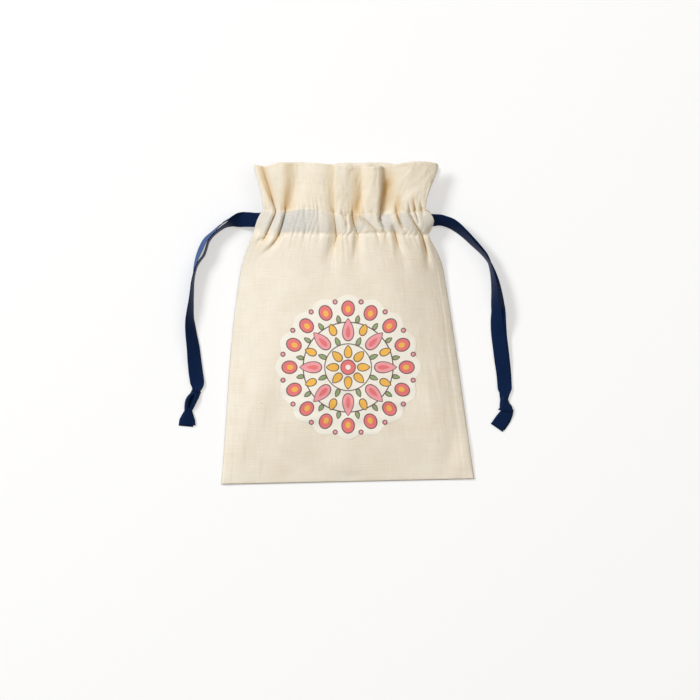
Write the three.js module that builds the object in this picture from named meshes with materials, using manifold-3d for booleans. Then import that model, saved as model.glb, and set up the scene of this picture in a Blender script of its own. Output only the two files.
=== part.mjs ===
// A kinchaku: a gathered cotton drawstring pouch lying on its back, with its two ribbons laid out beside it.
// Millimetres. X runs across the pouch, Y from its bottom fold to its frill, and Z up from the surface
// that it lies on. The origin is on that surface, under the middle of the pouch.
import * as THREE from "three";
import { mergeVertices } from "three/addons/utils/BufferGeometryUtils.js";
import Module from "manifold-3d";

const wasm = await Module();
wasm.setup();
const { clamp, lerp, smoothstep } = THREE.MathUtils;

// Driving dimensions of the pouch
const pouchWidth = 180; // across the bottom fold
const pouchHeight = 230; // from the bottom fold to the frill's edge
const frillHeight = 34; // frill above the casing
const casingHeight = 17.5; // between the casing's two rows of stitches
const slitDepth = 3; // how far the side slits run below the casing
const shoulderDrop = 26; // from the casing down to where the sides start to draw in
const shoulderWidth = 144;
const casingWidth = 126; // at the casing's lower stitches
const neckWidth = 116; // at the casing's upper stitches
const frillWidth = 132;
const casingFlare = 1.6; // how far the open ends of the casing swell sideways
const neckLean = -4; // the gathered neck lies this far to one side of the bottom's middle
const frillLean = -1;
const bottomSkew = 4; // the bottom fold's right end lies this much higher than its left

// Driving dimensions of the cloth and its height off the surface
const clothThickness = 0.6;
const foldHeight = 1.6; // both layers pressed flat at the bottom fold and the side seams
const lowerHeight = 7.5; // a little above the bottom fold
const lowerReach = 16; // where that height is reached
const bodyHeight = 15.5; // at the pouch's middle
const mouthGap = 8; // between the front and the back casing, in the middle
const endGap = 1; // between them at the side slits
const sideLift = 2.2; // how far the back casing's ends stand off the surface
const puckerHeight = 4; // the front casing's puckers
const backPucker = 1.2; // the back casing's puckers, pressed flatter by lying on them
const frillDeepening = 1.6; // the frill's folds against the casing's
const frillRise = 1.5; // the frill's edge against the casing
const stitchPinch = 0.7; // how deep the two rows of stitches draw the cloth in
const stitchBand = 0.8; // from a row of stitches to the ribbon's tunnel
const sideInset = 1.6; // from the side edge to the inside of the pouch
const openPast = 4; // how far the cuts run past the edges that they open

// Driving dimensions of the ribbons
const ribbonWidth = 10;
const ribbonThickness = 0.4;
const clearance = 0.3;
const knotLength = 13;
const knotWidth = 9;
const knotDepth = 6;
const knotNeck = 5; // the ribbon's width where it goes into the knot
const pinchLength = 7; // how quickly the ribbon narrows to it
const tailLength = 11;
const tailWidth = 11;
const exitReach = 2; // how far a ribbon stands straight out of its casing
const creaseLength = 25; // how long it takes to crease narrow for its turn round the side slit
const restGap = 0.3; // from the surface to what lies on it

// Driving dimensions of the printed transfer
const printRadius = 50;
const printScallop = 1.6;
const printScallops = 16;
const printThickness = 0.25;
const printDrop = 95; // from the casing's lower stitches to the print's centre
const printShift = 3; // to the right of the cloth's middle there

// How finely the cloth is divided
const columns = 52;
const printRings = 4;
const printSpokes = 64;
const ribbonStep = 3;

// Heights along the pouch
const bottomY = -pouchHeight / 2;
const topY = pouchHeight / 2;
const casingTopY = topY - frillHeight;
const casingBottomY = casingTopY - casingHeight;
const casingMiddleY = (casingTopY + casingBottomY) / 2;
const shoulderY = casingBottomY - shoulderDrop;
const slitY = casingBottomY - slitDepth;

// The stack of one casing: two layers of cloth round both ribbons
const ribbonPitch = ribbonThickness + clearance;
const tunnelDepth = 2 * ribbonThickness + 3 * clearance;
const casingStack = tunnelDepth + 2 * clothThickness;
const tunnelHeight = casingHeight - 2 * stitchBand;

// A smooth function through [position, value] pairs, level past both ends.
function curveThrough(knots) {
  const slope = (a, b) => (b[1] - a[1]) / (b[0] - a[0]);
  const tangents = knots.map((knot, i) => {
    if (i === 0) return slope(knot, knots[1]);
    if (i === knots.length - 1) return slope(knots[i - 1], knot);
    const before = slope(knots[i - 1], knot);
    const after = slope(knot, knots[i + 1]);
    return before * after > 0 ? (2 * before * after) / (before + after) : 0;
  });
  return (at) => {
    if (at <= knots[0][0]) return knots[0][1];
    if (at >= knots[knots.length - 1][0]) return knots[knots.length - 1][1];
    const i = knots.findIndex((knot) => knot[0] > at) - 1;
    const span = knots[i + 1][0] - knots[i][0];
    const t = (at - knots[i][0]) / span;
    return (
      (2 * t ** 3 - 3 * t ** 2 + 1) * knots[i][1] +
      (t ** 3 - 2 * t ** 2 + t) * span * tangents[i] +
      (3 * t ** 2 - 2 * t ** 3) * knots[i + 1][1] +
      (t ** 3 - t ** 2) * span * tangents[i + 1]
    );
  };
}

// Outline of the pouch from above
const bareWidth = curveThrough([
  [bottomY, pouchWidth],
  [shoulderY, shoulderWidth],
  [casingBottomY, casingWidth],
  [casingTopY, neckWidth],
  [topY, frillWidth],
]);
const centreAt = curveThrough([
  [bottomY, 0],
  [shoulderY, neckLean],
  [topY, frillLean],
]);

function widthAt(y) {
  const across = clamp((y - casingBottomY) / casingHeight, 0, 1);
  return bareWidth(y) + 2 * casingFlare * Math.sin(Math.PI * across);
}
const leftAt = (y) => centreAt(y) - widthAt(y) / 2;
const rightAt = (y) => centreAt(y) + widthAt(y) / 2;

// The width that the cloth's height follows, level along the casing
const casingSpan = widthAt(casingMiddleY);
function girthAt(y) {
  if (y > casingTopY) return lerp(casingSpan, frillWidth, (y - casingTopY) / frillHeight);
  return y > casingBottomY ? casingSpan : bareWidth(y);
}

// 1 in the middle of the pouch, falling to 0 at its side edges
function crown(x, y) {
  const share = clamp(Math.abs(x - centreAt(y)) / (girthAt(y) / 2), 0, 1);
  return (1 - share ** 2.4) ** 0.7;
}

// Middle planes of the two casings, where the ribbons run
const backEnd = sideLift + casingStack / 2;
const backMiddle = backPucker + casingStack / 2;
const frontEnd = backEnd + casingStack + endGap;
const frontMiddle = backMiddle + casingStack + mouthGap;
const frontPlane = (x) => lerp(frontEnd, frontMiddle, crown(x, casingMiddleY));
const backPlane = (x) => lerp(backEnd, backMiddle, crown(x, casingMiddleY));

// Folds that the gathering makes in the front. at: share of the neck's width from its left end. depth: share
// of the puckers' height. width, up, down, leanUp, leanDown: millimetres at, above and below the casing.
const folds = [
  { at: 0.075, depth: 0.8, width: 3.4, up: 60, leanUp: -8, down: 22, leanDown: -9 },
  { at: 0.15, depth: 0.8, width: 3.6, up: 60, leanUp: 4, down: 28, leanDown: -10 },
  { at: 0.235, depth: 0.3, width: 2.6, up: 6, leanUp: 0, down: 9, leanDown: -1 },
  { at: 0.325, depth: 0.45, width: 3.0, up: 22, leanUp: 0, down: 10, leanDown: 0 },
  { at: 0.425, depth: 0.8, width: 4.2, up: 60, leanUp: -3, down: 48, leanDown: -3 },
  { at: 0.5, depth: 0.35, width: 2.6, up: 7, leanUp: 0, down: 12, leanDown: 1 },
  { at: 0.565, depth: 0.75, width: 4.4, up: 60, leanUp: 1, down: 34, leanDown: 3 },
  { at: 0.645, depth: 0.35, width: 2.6, up: 8, leanUp: 0, down: 14, leanDown: 3 },
  { at: 0.725, depth: 0.8, width: 3.8, up: 60, leanUp: 2, down: 22, leanDown: 4 },
  { at: 0.83, depth: 0.7, width: 3.0, up: 20, leanUp: 0, down: 42, leanDown: 6 },
  { at: 0.925, depth: 0.7, width: 3.0, up: 20, leanUp: 0, down: 52, leanDown: 9 },
];
const foldSpread = 0.03; // how much wider a fold gets for each millimetre away from the casing
const backFoldCount = 9;

// How deep the front is folded in at a place, as a share of the puckers' height.
function gather(x, y) {
  const above = Math.max(0, y - casingTopY);
  const below = Math.max(0, casingBottomY - y);
  const away = casingTopY - Math.min(y, casingTopY);
  const neckLeft = centreAt(casingTopY) - neckWidth / 2;
  let deepest = 0;
  for (const fold of folds) {
    const drift = (fold.leanUp * above) / frillHeight + (fold.leanDown * away) / (casingHeight + fold.down);
    const middle = neckLeft + fold.at * neckWidth + drift;
    const fade = (1 - smoothstep(above, 0, fold.up)) * (1 - smoothstep(below, 0, fold.down));
    const spread = fold.width * (1 + foldSpread * (above + below));
    deepest = Math.max(deepest, fold.depth * fade * Math.exp(-(((x - middle) / spread) ** 2)));
  }
  return deepest * (1 + (frillDeepening - 1) * clamp(above / frillHeight, 0, 1));
}

// The two rows of stitches as shallow grooves
function stitchGroove(y) {
  const row = (at) => Math.exp(-(((y - at) / (2 * stitchBand)) ** 2));
  return stitchPinch * Math.max(row(casingTopY), row(casingBottomY));
}

// Waves of the back, which start at the casing and die out down the body
function backWave(x, y) {
  const share = (x - leftAt(y)) / widthAt(y);
  const fade = 1 - smoothstep(casingBottomY - y, 0, shoulderDrop);
  return backPucker * fade * (0.5 - 0.5 * Math.cos(2 * Math.PI * backFoldCount * share));
}

// Outer surfaces of the pouch
const frontTop = frontMiddle + casingStack / 2 + puckerHeight;
const frontSide = frontEnd + casingStack / 2 + puckerHeight / 2 + clearance;
const middleHeight = curveThrough([
  [bottomY, foldHeight],
  [bottomY + lowerReach, lowerHeight],
  [(bottomY + shoulderY) / 2, bodyHeight],
  [casingBottomY, frontTop],
  [casingTopY, frontTop],
  [topY, frontTop + frillRise],
]);
const sideHeight = curveThrough([
  [bottomY, 0],
  [shoulderY - shoulderDrop, 0],
  [slitY, sideLift],
  [topY, sideLift / 2],
]);
const sideThickness = curveThrough([
  [bottomY, foldHeight],
  [shoulderY, foldHeight],
  [casingBottomY, frontSide - sideLift],
  [topY, frontSide - sideLift + frillRise],
]);

function frontOuter(x, y) {
  const base = lerp(sideHeight(y) + sideThickness(y), middleHeight(y), crown(x, y));
  const pucker = puckerHeight * lerp(0.5, 1, crown(x, y));
  return Math.max(sideHeight(y) + foldHeight, base - pucker * gather(x, y) - stitchGroove(y));
}
const backOuter = (x, y) => sideHeight(y) * (1 - crown(x, y)) + backWave(x, y) * crown(x, y);

// How much taller a layer stands where its surface slopes
function slant(surface, x, y) {
  const step = 0.5;
  const across = (surface(x + step, y) - surface(x - step, y)) / (2 * step);
  const along = (surface(x, y + step) - surface(x, y - step)) / (2 * step);
  return Math.min(2.5, Math.hypot(1, across, along));
}

// Inner surfaces of the pouch: a single layer in the body, the casing's facing, and a doubled frill
function frontInner(x, y) {
  if (y >= casingBottomY && y <= casingTopY) return frontPlane(x) - casingStack / 2;
  const layers = y > casingTopY ? 2 : 1;
  return frontOuter(x, y) - layers * clothThickness * slant(frontOuter, x, y);
}
function backInner(x, y) {
  if (y >= casingBottomY && y <= casingTopY) return backPlane(x) + casingStack / 2;
  const layers = y > casingTopY ? 2 : 1;
  return backOuter(x, y) + layers * clothThickness * slant(backOuter, x, y);
}

// A closed solid between two sheets of points with the same rows and columns. ring joins the last column
// to the first.
function slab(upper, lower, ring = false) {
  const rows = upper.length;
  const across = upper[0].length;
  const points = [...upper.flat(), ...lower.flat()];
  const at = (sheet, row, column) => sheet * rows * across + row * across + (column % across);
  const index = [];
  const quad = (a, b, c, d) => index.push(a, b, c, a, c, d);
  const lastColumn = ring ? across : across - 1;
  for (let r = 0; r < rows - 1; r++)
    for (let c = 0; c < lastColumn; c++) {
      quad(at(0, r, c), at(0, r, c + 1), at(0, r + 1, c + 1), at(0, r + 1, c));
      quad(at(1, r, c), at(1, r + 1, c), at(1, r + 1, c + 1), at(1, r, c + 1));
    }
  for (let c = 0; c < lastColumn; c++) {
    quad(at(0, 0, c), at(1, 0, c), at(1, 0, c + 1), at(0, 0, c + 1));
    quad(at(0, rows - 1, c), at(0, rows - 1, c + 1), at(1, rows - 1, c + 1), at(1, rows - 1, c));
  }
  for (let r = 0; r < rows - 1 && !ring; r++) {
    quad(at(0, r, 0), at(0, r + 1, 0), at(1, r + 1, 0), at(1, r, 0));
    quad(at(0, r, lastColumn), at(1, r, lastColumn), at(1, r + 1, lastColumn), at(0, r + 1, lastColumn));
  }
  return new THREE.BufferGeometry().setFromPoints(points).setIndex(index);
}

// Booleans on closed geometry
function solidOf(geometry) {
  const bare = geometry.clone();
  bare.deleteAttribute("normal");
  bare.deleteAttribute("uv");
  const merged = mergeVertices(bare, 1e-4);
  return new wasm.Manifold(
    new wasm.Mesh({
      numProp: 3,
      vertProperties: new Float32Array(merged.attributes.position.array),
      triVerts: new Uint32Array(merged.index.array),
    }),
  );
}
function geometryOf(solid) {
  const { vertProperties, triVerts } = solid.getMesh();
  return new THREE.BufferGeometry()
    .setAttribute("position", new THREE.BufferAttribute(vertProperties, 3))
    .setIndex(new THREE.BufferAttribute(triVerts, 1));
}

// Evenly spaced numbers from start to end
function spread(start, end, count) {
  return Array.from({ length: count + 1 }, (_, i) => lerp(start, end, i / count));
}

// A sheet of points over the pouch, at the heights that a surface gives. All sheets share their rows and
// columns, so that a wall between two of them keeps its thickness. A cut's sheet starts and ends inset from
// the side edges, and has one more column at each side, further out by run.
function sheetOver(rows, surface, cut) {
  return rows.map((y) => {
    const across = spread(leftAt(y), rightAt(y), columns);
    if (cut) {
      const { inset, run } = cut(y);
      across[0] += inset;
      across[columns] -= inset;
      across.unshift(across[0] - run);
      across.push(across[columns + 1] + run);
    }
    return across.map((x) => {
      const onCloth = clamp(x, leftAt(y), rightAt(y));
      const skew = (bottomSkew * (onCloth - leftAt(y)) * clamp(y / bottomY, 0, 1)) / widthAt(y);
      return new THREE.Vector3(x, y + skew, surface(onCloth, y));
    });
  });
}

function pouchCloth() {
  const bodyRows = [
    bottomY + lowerReach / 2,
    ...spread(bottomY + lowerReach, shoulderY, 4),
    ...spread(shoulderY, slitY - stitchBand, 3).slice(1),
    slitY,
    casingBottomY - stitchBand / 2,
    casingBottomY,
  ];
  const tunnelRows = [casingBottomY + stitchBand, casingMiddleY, casingTopY - stitchBand];
  const frillRows = [casingTopY, ...spread(casingTopY + stitchBand / 2, topY, 4)];
  const outerRows = [bottomY, ...bodyRows, ...tunnelRows, ...frillRows];
  const outer = slab(sheetOver(outerRows, frontOuter), sheetOver(outerRows, backOuter));

  // The inside stops short of the side seams, and runs out through the slits above them and past the frill.
  const innerRows = [...bodyRows, ...frillRows];
  const through = () => ({ inset: 0, run: openPast });
  const hollow = (y) => (y < slitY ? { inset: sideInset, run: sideInset / 2 } : through());
  const ceiling = (x, y) => Math.max(frontInner(x, y), backInner(x, y) + clearance);
  const roof = sheetOver(innerRows, ceiling, hollow);
  const floor = sheetOver(innerRows, backInner, hollow);
  const onwards = new THREE.Vector3(0, openPast, 0);
  const beyond = (sheet) => [...sheet, sheet[sheet.length - 1].map((point) => point.clone().add(onwards))];
  const inside = slab(beyond(roof), beyond(floor));

  // The tunnels that the ribbons run through, open at both ends
  const frontTunnel = slab(
    sheetOver(tunnelRows, (x, y) => frontOuter(x, y) - clothThickness * slant(frontOuter, x, y), through),
    sheetOver(tunnelRows, (x) => frontPlane(x) - tunnelDepth / 2, through),
  );
  const backTunnel = slab(
    sheetOver(tunnelRows, (x) => backPlane(x) + tunnelDepth / 2, through),
    sheetOver(tunnelRows, (x, y) => backOuter(x, y) + clothThickness * slant(backOuter, x, y), through),
  );
  return geometryOf(
    [inside, frontTunnel, backTunnel].reduce((cloth, cut) => cloth.subtract(solidOf(cut)), solidOf(outer)),
  );
}

// A flat ribbon along stations, each with its middle, its half-width vector and its upper face's normal
function ribbonBand(stations) {
  const face = (lift) =>
    stations.map(({ middle, half, normal }) =>
      [1, -1].map((edge) =>
        middle.clone().addScaledVector(half, edge).addScaledVector(normal, (lift * ribbonThickness) / 2),
      ),
    );
  return slab(face(1), face(-1));
}

// hand is -1 for the ribbon whose ends come out on the left, and 1 for the one on the right. The left one
// runs along the casing's upper edge and outside the other, which runs along its lower edge.
const ribbonLayer = (hand) => (-hand * ribbonPitch) / 2;
const ribbonEdgeY = (hand) => casingMiddleY - hand * (tunnelHeight / 2 - clearance);
const casingEnd = (hand, y) => (hand < 0 ? leftAt(y) : rightAt(y));
const exitX = (hand) => casingEnd(hand, casingMiddleY) + hand * exitReach;

// One ribbon inside the casings: through the front one, round the far side slit and back through the back one
function casingRun(hand) {
  const start = exitX(hand);
  const turnWidth = tunnelHeight - ribbonWidth - 3 * clearance;
  const turnSides = [ribbonEdgeY(hand), ribbonEdgeY(hand) + hand * turnWidth];
  const turnEnds = turnSides.map((y) => casingEnd(-hand, y));
  const turnAt = (hand < 0 ? Math.max(...turnEnds) : Math.min(...turnEnds)) - hand * clearance;
  const length = Math.abs(turnAt - start);
  const across = spread(start, turnAt, Math.ceil(length / ribbonStep));
  const front = across.map((x) => new THREE.Vector2(x, frontPlane(x) + ribbonLayer(hand)));
  const back = across.map((x) => new THREE.Vector2(x, backPlane(x) - ribbonLayer(hand))).reverse();
  const turnTop = front[front.length - 1];
  const turnCentre = turnTop.clone().lerp(back[0], 0.5);
  const turn = spread(Math.PI / 2, -Math.PI / 2, 8)
    .slice(1, -1)
    .map((angle) => new THREE.Vector2(-hand * Math.cos(angle), Math.sin(angle)))
    .map((out) => turnCentre.clone().addScaledVector(out, turnTop.y - turnCentre.y));
  const path = [...front, ...turn, ...back];
  // Where it turns it is creased narrow, so that it passes beside the other ribbon's ends.
  return ribbonBand(
    path.map((point, i) => {
      const along = path[Math.min(path.length - 1, i + 1)].clone().sub(path[Math.max(0, i - 1)]).normalize();
      const crease = smoothstep(Math.abs(point.x - start), length - creaseLength, length);
      const width = lerp(ribbonWidth, turnWidth, crease);
      return {
        middle: new THREE.Vector3(point.x, ribbonEdgeY(hand) + (hand * width) / 2, point.y),
        half: new THREE.Vector3(0, (-hand * width) / 2, 0),
        normal: new THREE.Vector3(hand * along.y, 0, -hand * along.x),
      };
    }),
  );
}

// Where the free ends of each ribbon lie, from the casing to the knot. out, down: from the exit. tilt:
// degrees that its outer edge stands up. part: half the space between the two ends that lie together.
const leftRoute = [
  { out: 4, down: 0, tilt: 0, part: 2.2 },
  { out: 9, down: 1, tilt: 8, part: 2.1 },
  { out: 16, down: 3, tilt: 28, part: 1.9 },
  { out: 22.5, down: 6.5, tilt: 52, part: 1.8 },
  { out: 28, down: 11, tilt: 70, part: 1.9 },
  { out: 32.5, down: 17, tilt: 78, part: 2 },
  { out: 35.5, down: 23, tilt: 80, part: 1.9 },
  { out: 38, down: 29.5, tilt: 82, part: 1.5 },
  { out: 40.5, down: 36, tilt: 83, part: 0.8 },
  { out: 42, down: 43, tilt: 82, part: 0.4 },
  { out: 43.5, down: 51.5, tilt: 78, part: 0.4 },
  { out: 44.5, down: 60, tilt: 68, part: 0.4 },
  { out: 44.5, down: 70, tilt: 56, part: 0.4 },
  { out: 44, down: 81.5, tilt: 40, part: 0.4 },
  { out: 43, down: 93, tilt: 22, part: 0.4 },
  { out: 41.5, down: 104, tilt: 8, part: 0.4 },
  { out: 40.5, down: 114, tilt: 0, part: 0.4 },
  { out: 39.5, down: 120.5, tilt: 0, part: 0.4 },
  { out: 41.5, down: 125, tilt: 0, part: 0.4 },
];
const rightRoute = [
  { out: 4, down: 0, tilt: 0, part: 1.8 },
  { out: 9, down: -0.5, tilt: 8, part: 1.5 },
  { out: 15, down: 1, tilt: 24, part: 1 },
  { out: 20.5, down: 4.5, tilt: 42, part: 0.6 },
  { out: 25, down: 9, tilt: 50, part: 0.4 },
  { out: 29.5, down: 13.5, tilt: 57, part: 0.4 },
  { out: 33.5, down: 18, tilt: 64, part: 0.4 },
  { out: 37.5, down: 23.5, tilt: 71, part: 0.4 },
  { out: 40.5, down: 29, tilt: 74, part: 0.4 },
  { out: 42.5, down: 34.5, tilt: 68, part: 0.4 },
  { out: 44, down: 40, tilt: 58, part: 0.4 },
  { out: 45.5, down: 47, tilt: 45, part: 0.4 },
  { out: 46, down: 54.5, tilt: 32, part: 0.4 },
  { out: 46.5, down: 64.5, tilt: 16, part: 0.4 },
  { out: 47, down: 74.5, tilt: 5, part: 0.4 },
  { out: 48, down: 84.5, tilt: 0, part: 0.4 },
  { out: 49, down: 94.5, tilt: 0, part: 0.4 },
  { out: 50.5, down: 104.5, tilt: 0, part: 0.4 },
  { out: 51.5, down: 114.5, tilt: 0, part: 0.4 },
  { out: 51.5, down: 123, tilt: 0, part: 0.4 },
];
const leaveLength = 26; // how far from the casing a ribbon reaches the surface
const riseLength = 12; // how far from the knot it rises to it
const stationsPerMark = 1.5;
const lengthSamples = 400;
const knotHeight = restGap + knotDepth / 2;

// The pair of free ends as one path: at each station its middle, direction, face and half the space between
function ribbonPath(hand, route) {
  const x = exitX(hand);
  const frontExit = frontPlane(x) + ribbonLayer(hand);
  const backExit = backPlane(x) - ribbonLayer(hand);
  const exit = { out: clearance, down: 0, tilt: 0, part: (frontExit - backExit) / 2 };
  const marks = [exit, ...route];
  const y = ribbonEdgeY(hand) + (hand * ribbonWidth) / 2;
  const plan = new THREE.CatmullRomCurve3(
    marks.map(({ out, down }) => new THREE.Vector3(x + hand * out, y - down, 0)),
  );
  const steps = Math.ceil(stationsPerMark * (marks.length - 1));
  const lengths = plan.getLengths(lengthSamples);
  const total = lengths[lengthSamples];
  const up = new THREE.Vector3(0, 0, 1);
  return spread(0, 1, steps).map((t) => {
    const place = t * (marks.length - 1);
    const before = marks[Math.min(marks.length - 2, Math.floor(place))];
    const after = marks[Math.min(marks.length - 1, Math.floor(place) + 1)];
    const share = place - marks.indexOf(before);
    const tilt = THREE.MathUtils.degToRad(lerp(before.tilt, after.tilt, share));
    const part = lerp(before.part, after.part, share);
    const middle = plan.getPoint(t);
    const along = plan.getTangent(t);
    const gone = lengths[Math.round(t * lengthSamples)];
    const standing = (ribbonWidth / 2) * Math.sin(tilt);
    const lying = restGap + standing + (part + ribbonThickness / 2) * Math.cos(tilt);
    const leaving = 1 - smoothstep(gone, exitReach, leaveLength);
    const rising = 1 - smoothstep(total - gone, 0, riseLength);
    middle.z = lerp(lerp(lying, (frontExit + backExit) / 2, leaving), knotHeight, rising);
    const level = up.clone().cross(along).normalize();
    const half = level.multiplyScalar(Math.cos(tilt)).addScaledVector(up, hand * Math.sin(tilt));
    const normal = along.clone().cross(half);
    const width = lerp(ribbonWidth, knotNeck, 1 - smoothstep(total - gone, 0, pinchLength));
    return { middle, along, normal, part, half: half.multiplyScalar(width / 2) };
  });
}

// One free end: layer is 1 for the end that comes from the front casing, and -1 for the one from the back
function freeEnd(path, layer) {
  return ribbonBand(
    path.map(({ middle, half, normal, part }) => ({
      middle: middle.clone().addScaledVector(normal, layer * part),
      half,
      normal,
    })),
  );
}

// The overhand knot that joins a ribbon's two ends, with both tails fanned flat below it. tailLean: degrees
// that the tails turn from the pouch's length.
function knotWithTails(path, tailLean) {
  const { middle, along } = path[path.length - 1];
  const knotLean = Math.atan2(along.x, -along.y);
  const bulge = new THREE.SplineCurve([
    new THREE.Vector2(knotNeck / 2 + clearance, 0),
    new THREE.Vector2(knotWidth / 2, knotLength * 0.35),
    new THREE.Vector2(knotWidth / 2, knotLength * 0.6),
    new THREE.Vector2(knotNeck / 2, knotLength),
  ]);
  const profile = [new THREE.Vector2(0, 0), ...bulge.getPoints(8), new THREE.Vector2(0, knotLength)];
  const knot = new THREE.LatheGeometry(profile, 14);
  knot.rotateX(Math.PI).scale(1, 1, knotDepth / knotWidth);
  knot.translate(0, -clearance, 0);
  knot.rotateZ(knotLean).translate(middle.x, middle.y, middle.z);

  const tailStart = knotLength - knotNeck / 2;
  const tail = (side) =>
    spread(0, 1, 4).map((t) => {
      const half = lerp(knotNeck, tailWidth, Math.sqrt(t)) / 2 - clearance;
      const sink = lerp(0, restGap + ribbonPitch - knotHeight, smoothstep(t, 0, 0.8));
      return [-half, half].map((x) => new THREE.Vector3(x, -t * tailLength, sink + side * ribbonThickness));
    });
  const tails = slab(tail(1).reverse(), tail(-1).reverse());
  const end = new THREE.Vector2(0, -tailStart).rotateAround(new THREE.Vector2(), knotLean);
  tails.rotateZ(THREE.MathUtils.degToRad(tailLean)).translate(middle.x + end.x, middle.y + end.y, middle.z);
  return geometryOf(solidOf(knot).add(solidOf(tails)));
}

// The printed transfer: a thin scalloped round of film on the front
function printTransfer() {
  const centreX = centreAt(casingBottomY - printDrop) + printShift;
  const centreY = casingBottomY - printDrop;
  const face = (lift) =>
    spread(0, 1, printRings).map((share) =>
      spread(0, 2 * Math.PI, printSpokes)
        .slice(0, -1)
        .map((angle) => {
          const reach = share * (printRadius + printScallop * Math.cos(printScallops * angle));
          const x = centreX + reach * Math.cos(angle);
          const y = centreY + reach * Math.sin(angle);
          return new THREE.Vector3(x, y, frontOuter(x, y) + clearance + lift);
        }),
    );
  return slab(face(0), face(printThickness), true);
}

const cotton = new THREE.MeshStandardMaterial({ color: 0xefe4cc, roughness: 0.95, metalness: 0 });
const satin = new THREE.MeshStandardMaterial({ color: 0x10224a, roughness: 0.4, metalness: 0 });
const film = new THREE.MeshStandardMaterial({ color: 0xf6efe2, roughness: 0.6, metalness: 0 });

const pouch = new THREE.Group();
function addPiece(name, geometry, material) {
  const mesh = new THREE.Mesh(geometry, material);
  mesh.name = name;
  pouch.add(mesh);
}

addPiece("pouch_cloth", pouchCloth(), cotton);
addPiece("print_transfer", printTransfer(), film);
const ribbons = [
  { side: "left", hand: -1, route: leftRoute, tailLean: 0 },
  { side: "right", hand: 1, route: rightRoute, tailLean: -30 },
];
for (const { side, hand, route, tailLean } of ribbons) {
  const path = ribbonPath(hand, route);
  addPiece(`${side}_ribbon_casing_run`, casingRun(hand), satin);
  addPiece(`${side}_ribbon_front_end`, freeEnd(path, 1), satin);
  addPiece(`${side}_ribbon_back_end`, freeEnd(path, -1), satin);
  addPiece(`${side}_ribbon_knot`, knotWithTails(path, tailLean), satin);
}

export default pouch;
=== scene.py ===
# A gathered cotton drawstring pouch lying on its back, with two knotted satin ribbons.
# Sizes are in millimetres, and become metres where a mesh is made. +X right, +Y to the frill, +Z up.
import math

import bmesh
import bpy
import numpy as np
from mathutils import Matrix, Vector
from mathutils.bvhtree import BVHTree


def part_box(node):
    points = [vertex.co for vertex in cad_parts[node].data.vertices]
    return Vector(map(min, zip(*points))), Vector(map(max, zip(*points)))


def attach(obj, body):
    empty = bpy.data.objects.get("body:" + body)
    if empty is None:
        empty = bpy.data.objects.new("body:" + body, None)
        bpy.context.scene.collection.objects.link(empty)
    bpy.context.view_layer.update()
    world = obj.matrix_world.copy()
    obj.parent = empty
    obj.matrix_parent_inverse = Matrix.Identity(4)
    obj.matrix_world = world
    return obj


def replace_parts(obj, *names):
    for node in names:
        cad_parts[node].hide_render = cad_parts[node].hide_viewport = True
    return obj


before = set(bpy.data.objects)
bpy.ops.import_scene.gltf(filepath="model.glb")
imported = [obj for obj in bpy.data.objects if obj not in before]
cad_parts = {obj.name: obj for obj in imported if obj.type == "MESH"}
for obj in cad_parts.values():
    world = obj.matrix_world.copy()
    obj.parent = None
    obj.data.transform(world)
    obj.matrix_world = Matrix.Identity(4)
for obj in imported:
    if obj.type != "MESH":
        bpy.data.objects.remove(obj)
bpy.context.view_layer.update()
mm = 0.001
scene = bpy.context.scene
scene.view_settings.view_transform = "Standard"


def lerp(a, b, t):
    return a + (b - a) * t


def ease(t):
    t = np.clip(t, 0, 1)
    return t * t * (3 - 2 * t)


def cubic(t, a, leaveA, b, reachB):  # from a to b, leaving and arriving in the given directions
    return (
        (2 * t**3 - 3 * t**2 + 1) * a
        + (t**3 - 2 * t**2 + t) * leaveA
        + (3 * t**2 - 2 * t**3) * b
        + (t**3 - t**2) * reachB
    )


def curveThrough(knots):  # smooth, never past its knots, level outside them
    at, value = np.array(knots, float).T
    slope = np.diff(value) / np.diff(at)
    tangent = np.concatenate([slope[:1], np.zeros(len(at) - 2), slope[-1:]])
    before, after = slope[:-1], slope[1:]
    same = before * after > 0
    tangent[1:-1][same] = 2 * before[same] * after[same] / (before + after)[same]

    def curve(x):
        x = np.clip(x, at[0], at[-1])
        i = np.clip(np.searchsorted(at, x, side="right") - 1, 0, len(at) - 2)
        span = at[i + 1] - at[i]
        t = (x - at[i]) / span
        return cubic(t, value[i], span * tangent[i], value[i + 1], span * tangent[i + 1])

    return curve


# camera, straight above, and the light
view = {"look": (1.6, -19.3), "across": 500.0, "height": 1500.0, "sensor": 36.0}
cameraData = bpy.data.cameras.new("aboveCamera")
cameraData.sensor_width = view["sensor"]
cameraData.lens = view["sensor"] * view["height"] / view["across"]
cameraData.clip_end = 10
camera = bpy.data.objects.new("aboveCamera", cameraData)
camera.location = (view["look"][0] * mm, view["look"][1] * mm, view["height"] * mm)
scene.collection.objects.link(camera)
scene.camera = camera

lights = {
    "windowLight": {"at": (-1.95, 1.15, 2.1), "size": 0.9, "watts": 70.0, "tint": (0.98, 0.99, 1)},
    "overheadLight": {"at": (1.5, 0.5, 2.8), "size": 2.6, "watts": 34.0, "tint": (1, 0.925, 0.81)},
}
for name, light in lights.items():
    lamp = bpy.data.lights.new(name, "AREA")
    lamp.size = light["size"]
    lamp.energy = light["watts"]
    lamp.color = light["tint"]
    lampObject = bpy.data.objects.new(name, lamp)
    lampObject.location = light["at"]
    lampObject.rotation_euler = (-Vector(light["at"])).to_track_quat("-Z", "Y").to_euler()
    scene.collection.objects.link(lampObject)


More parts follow.
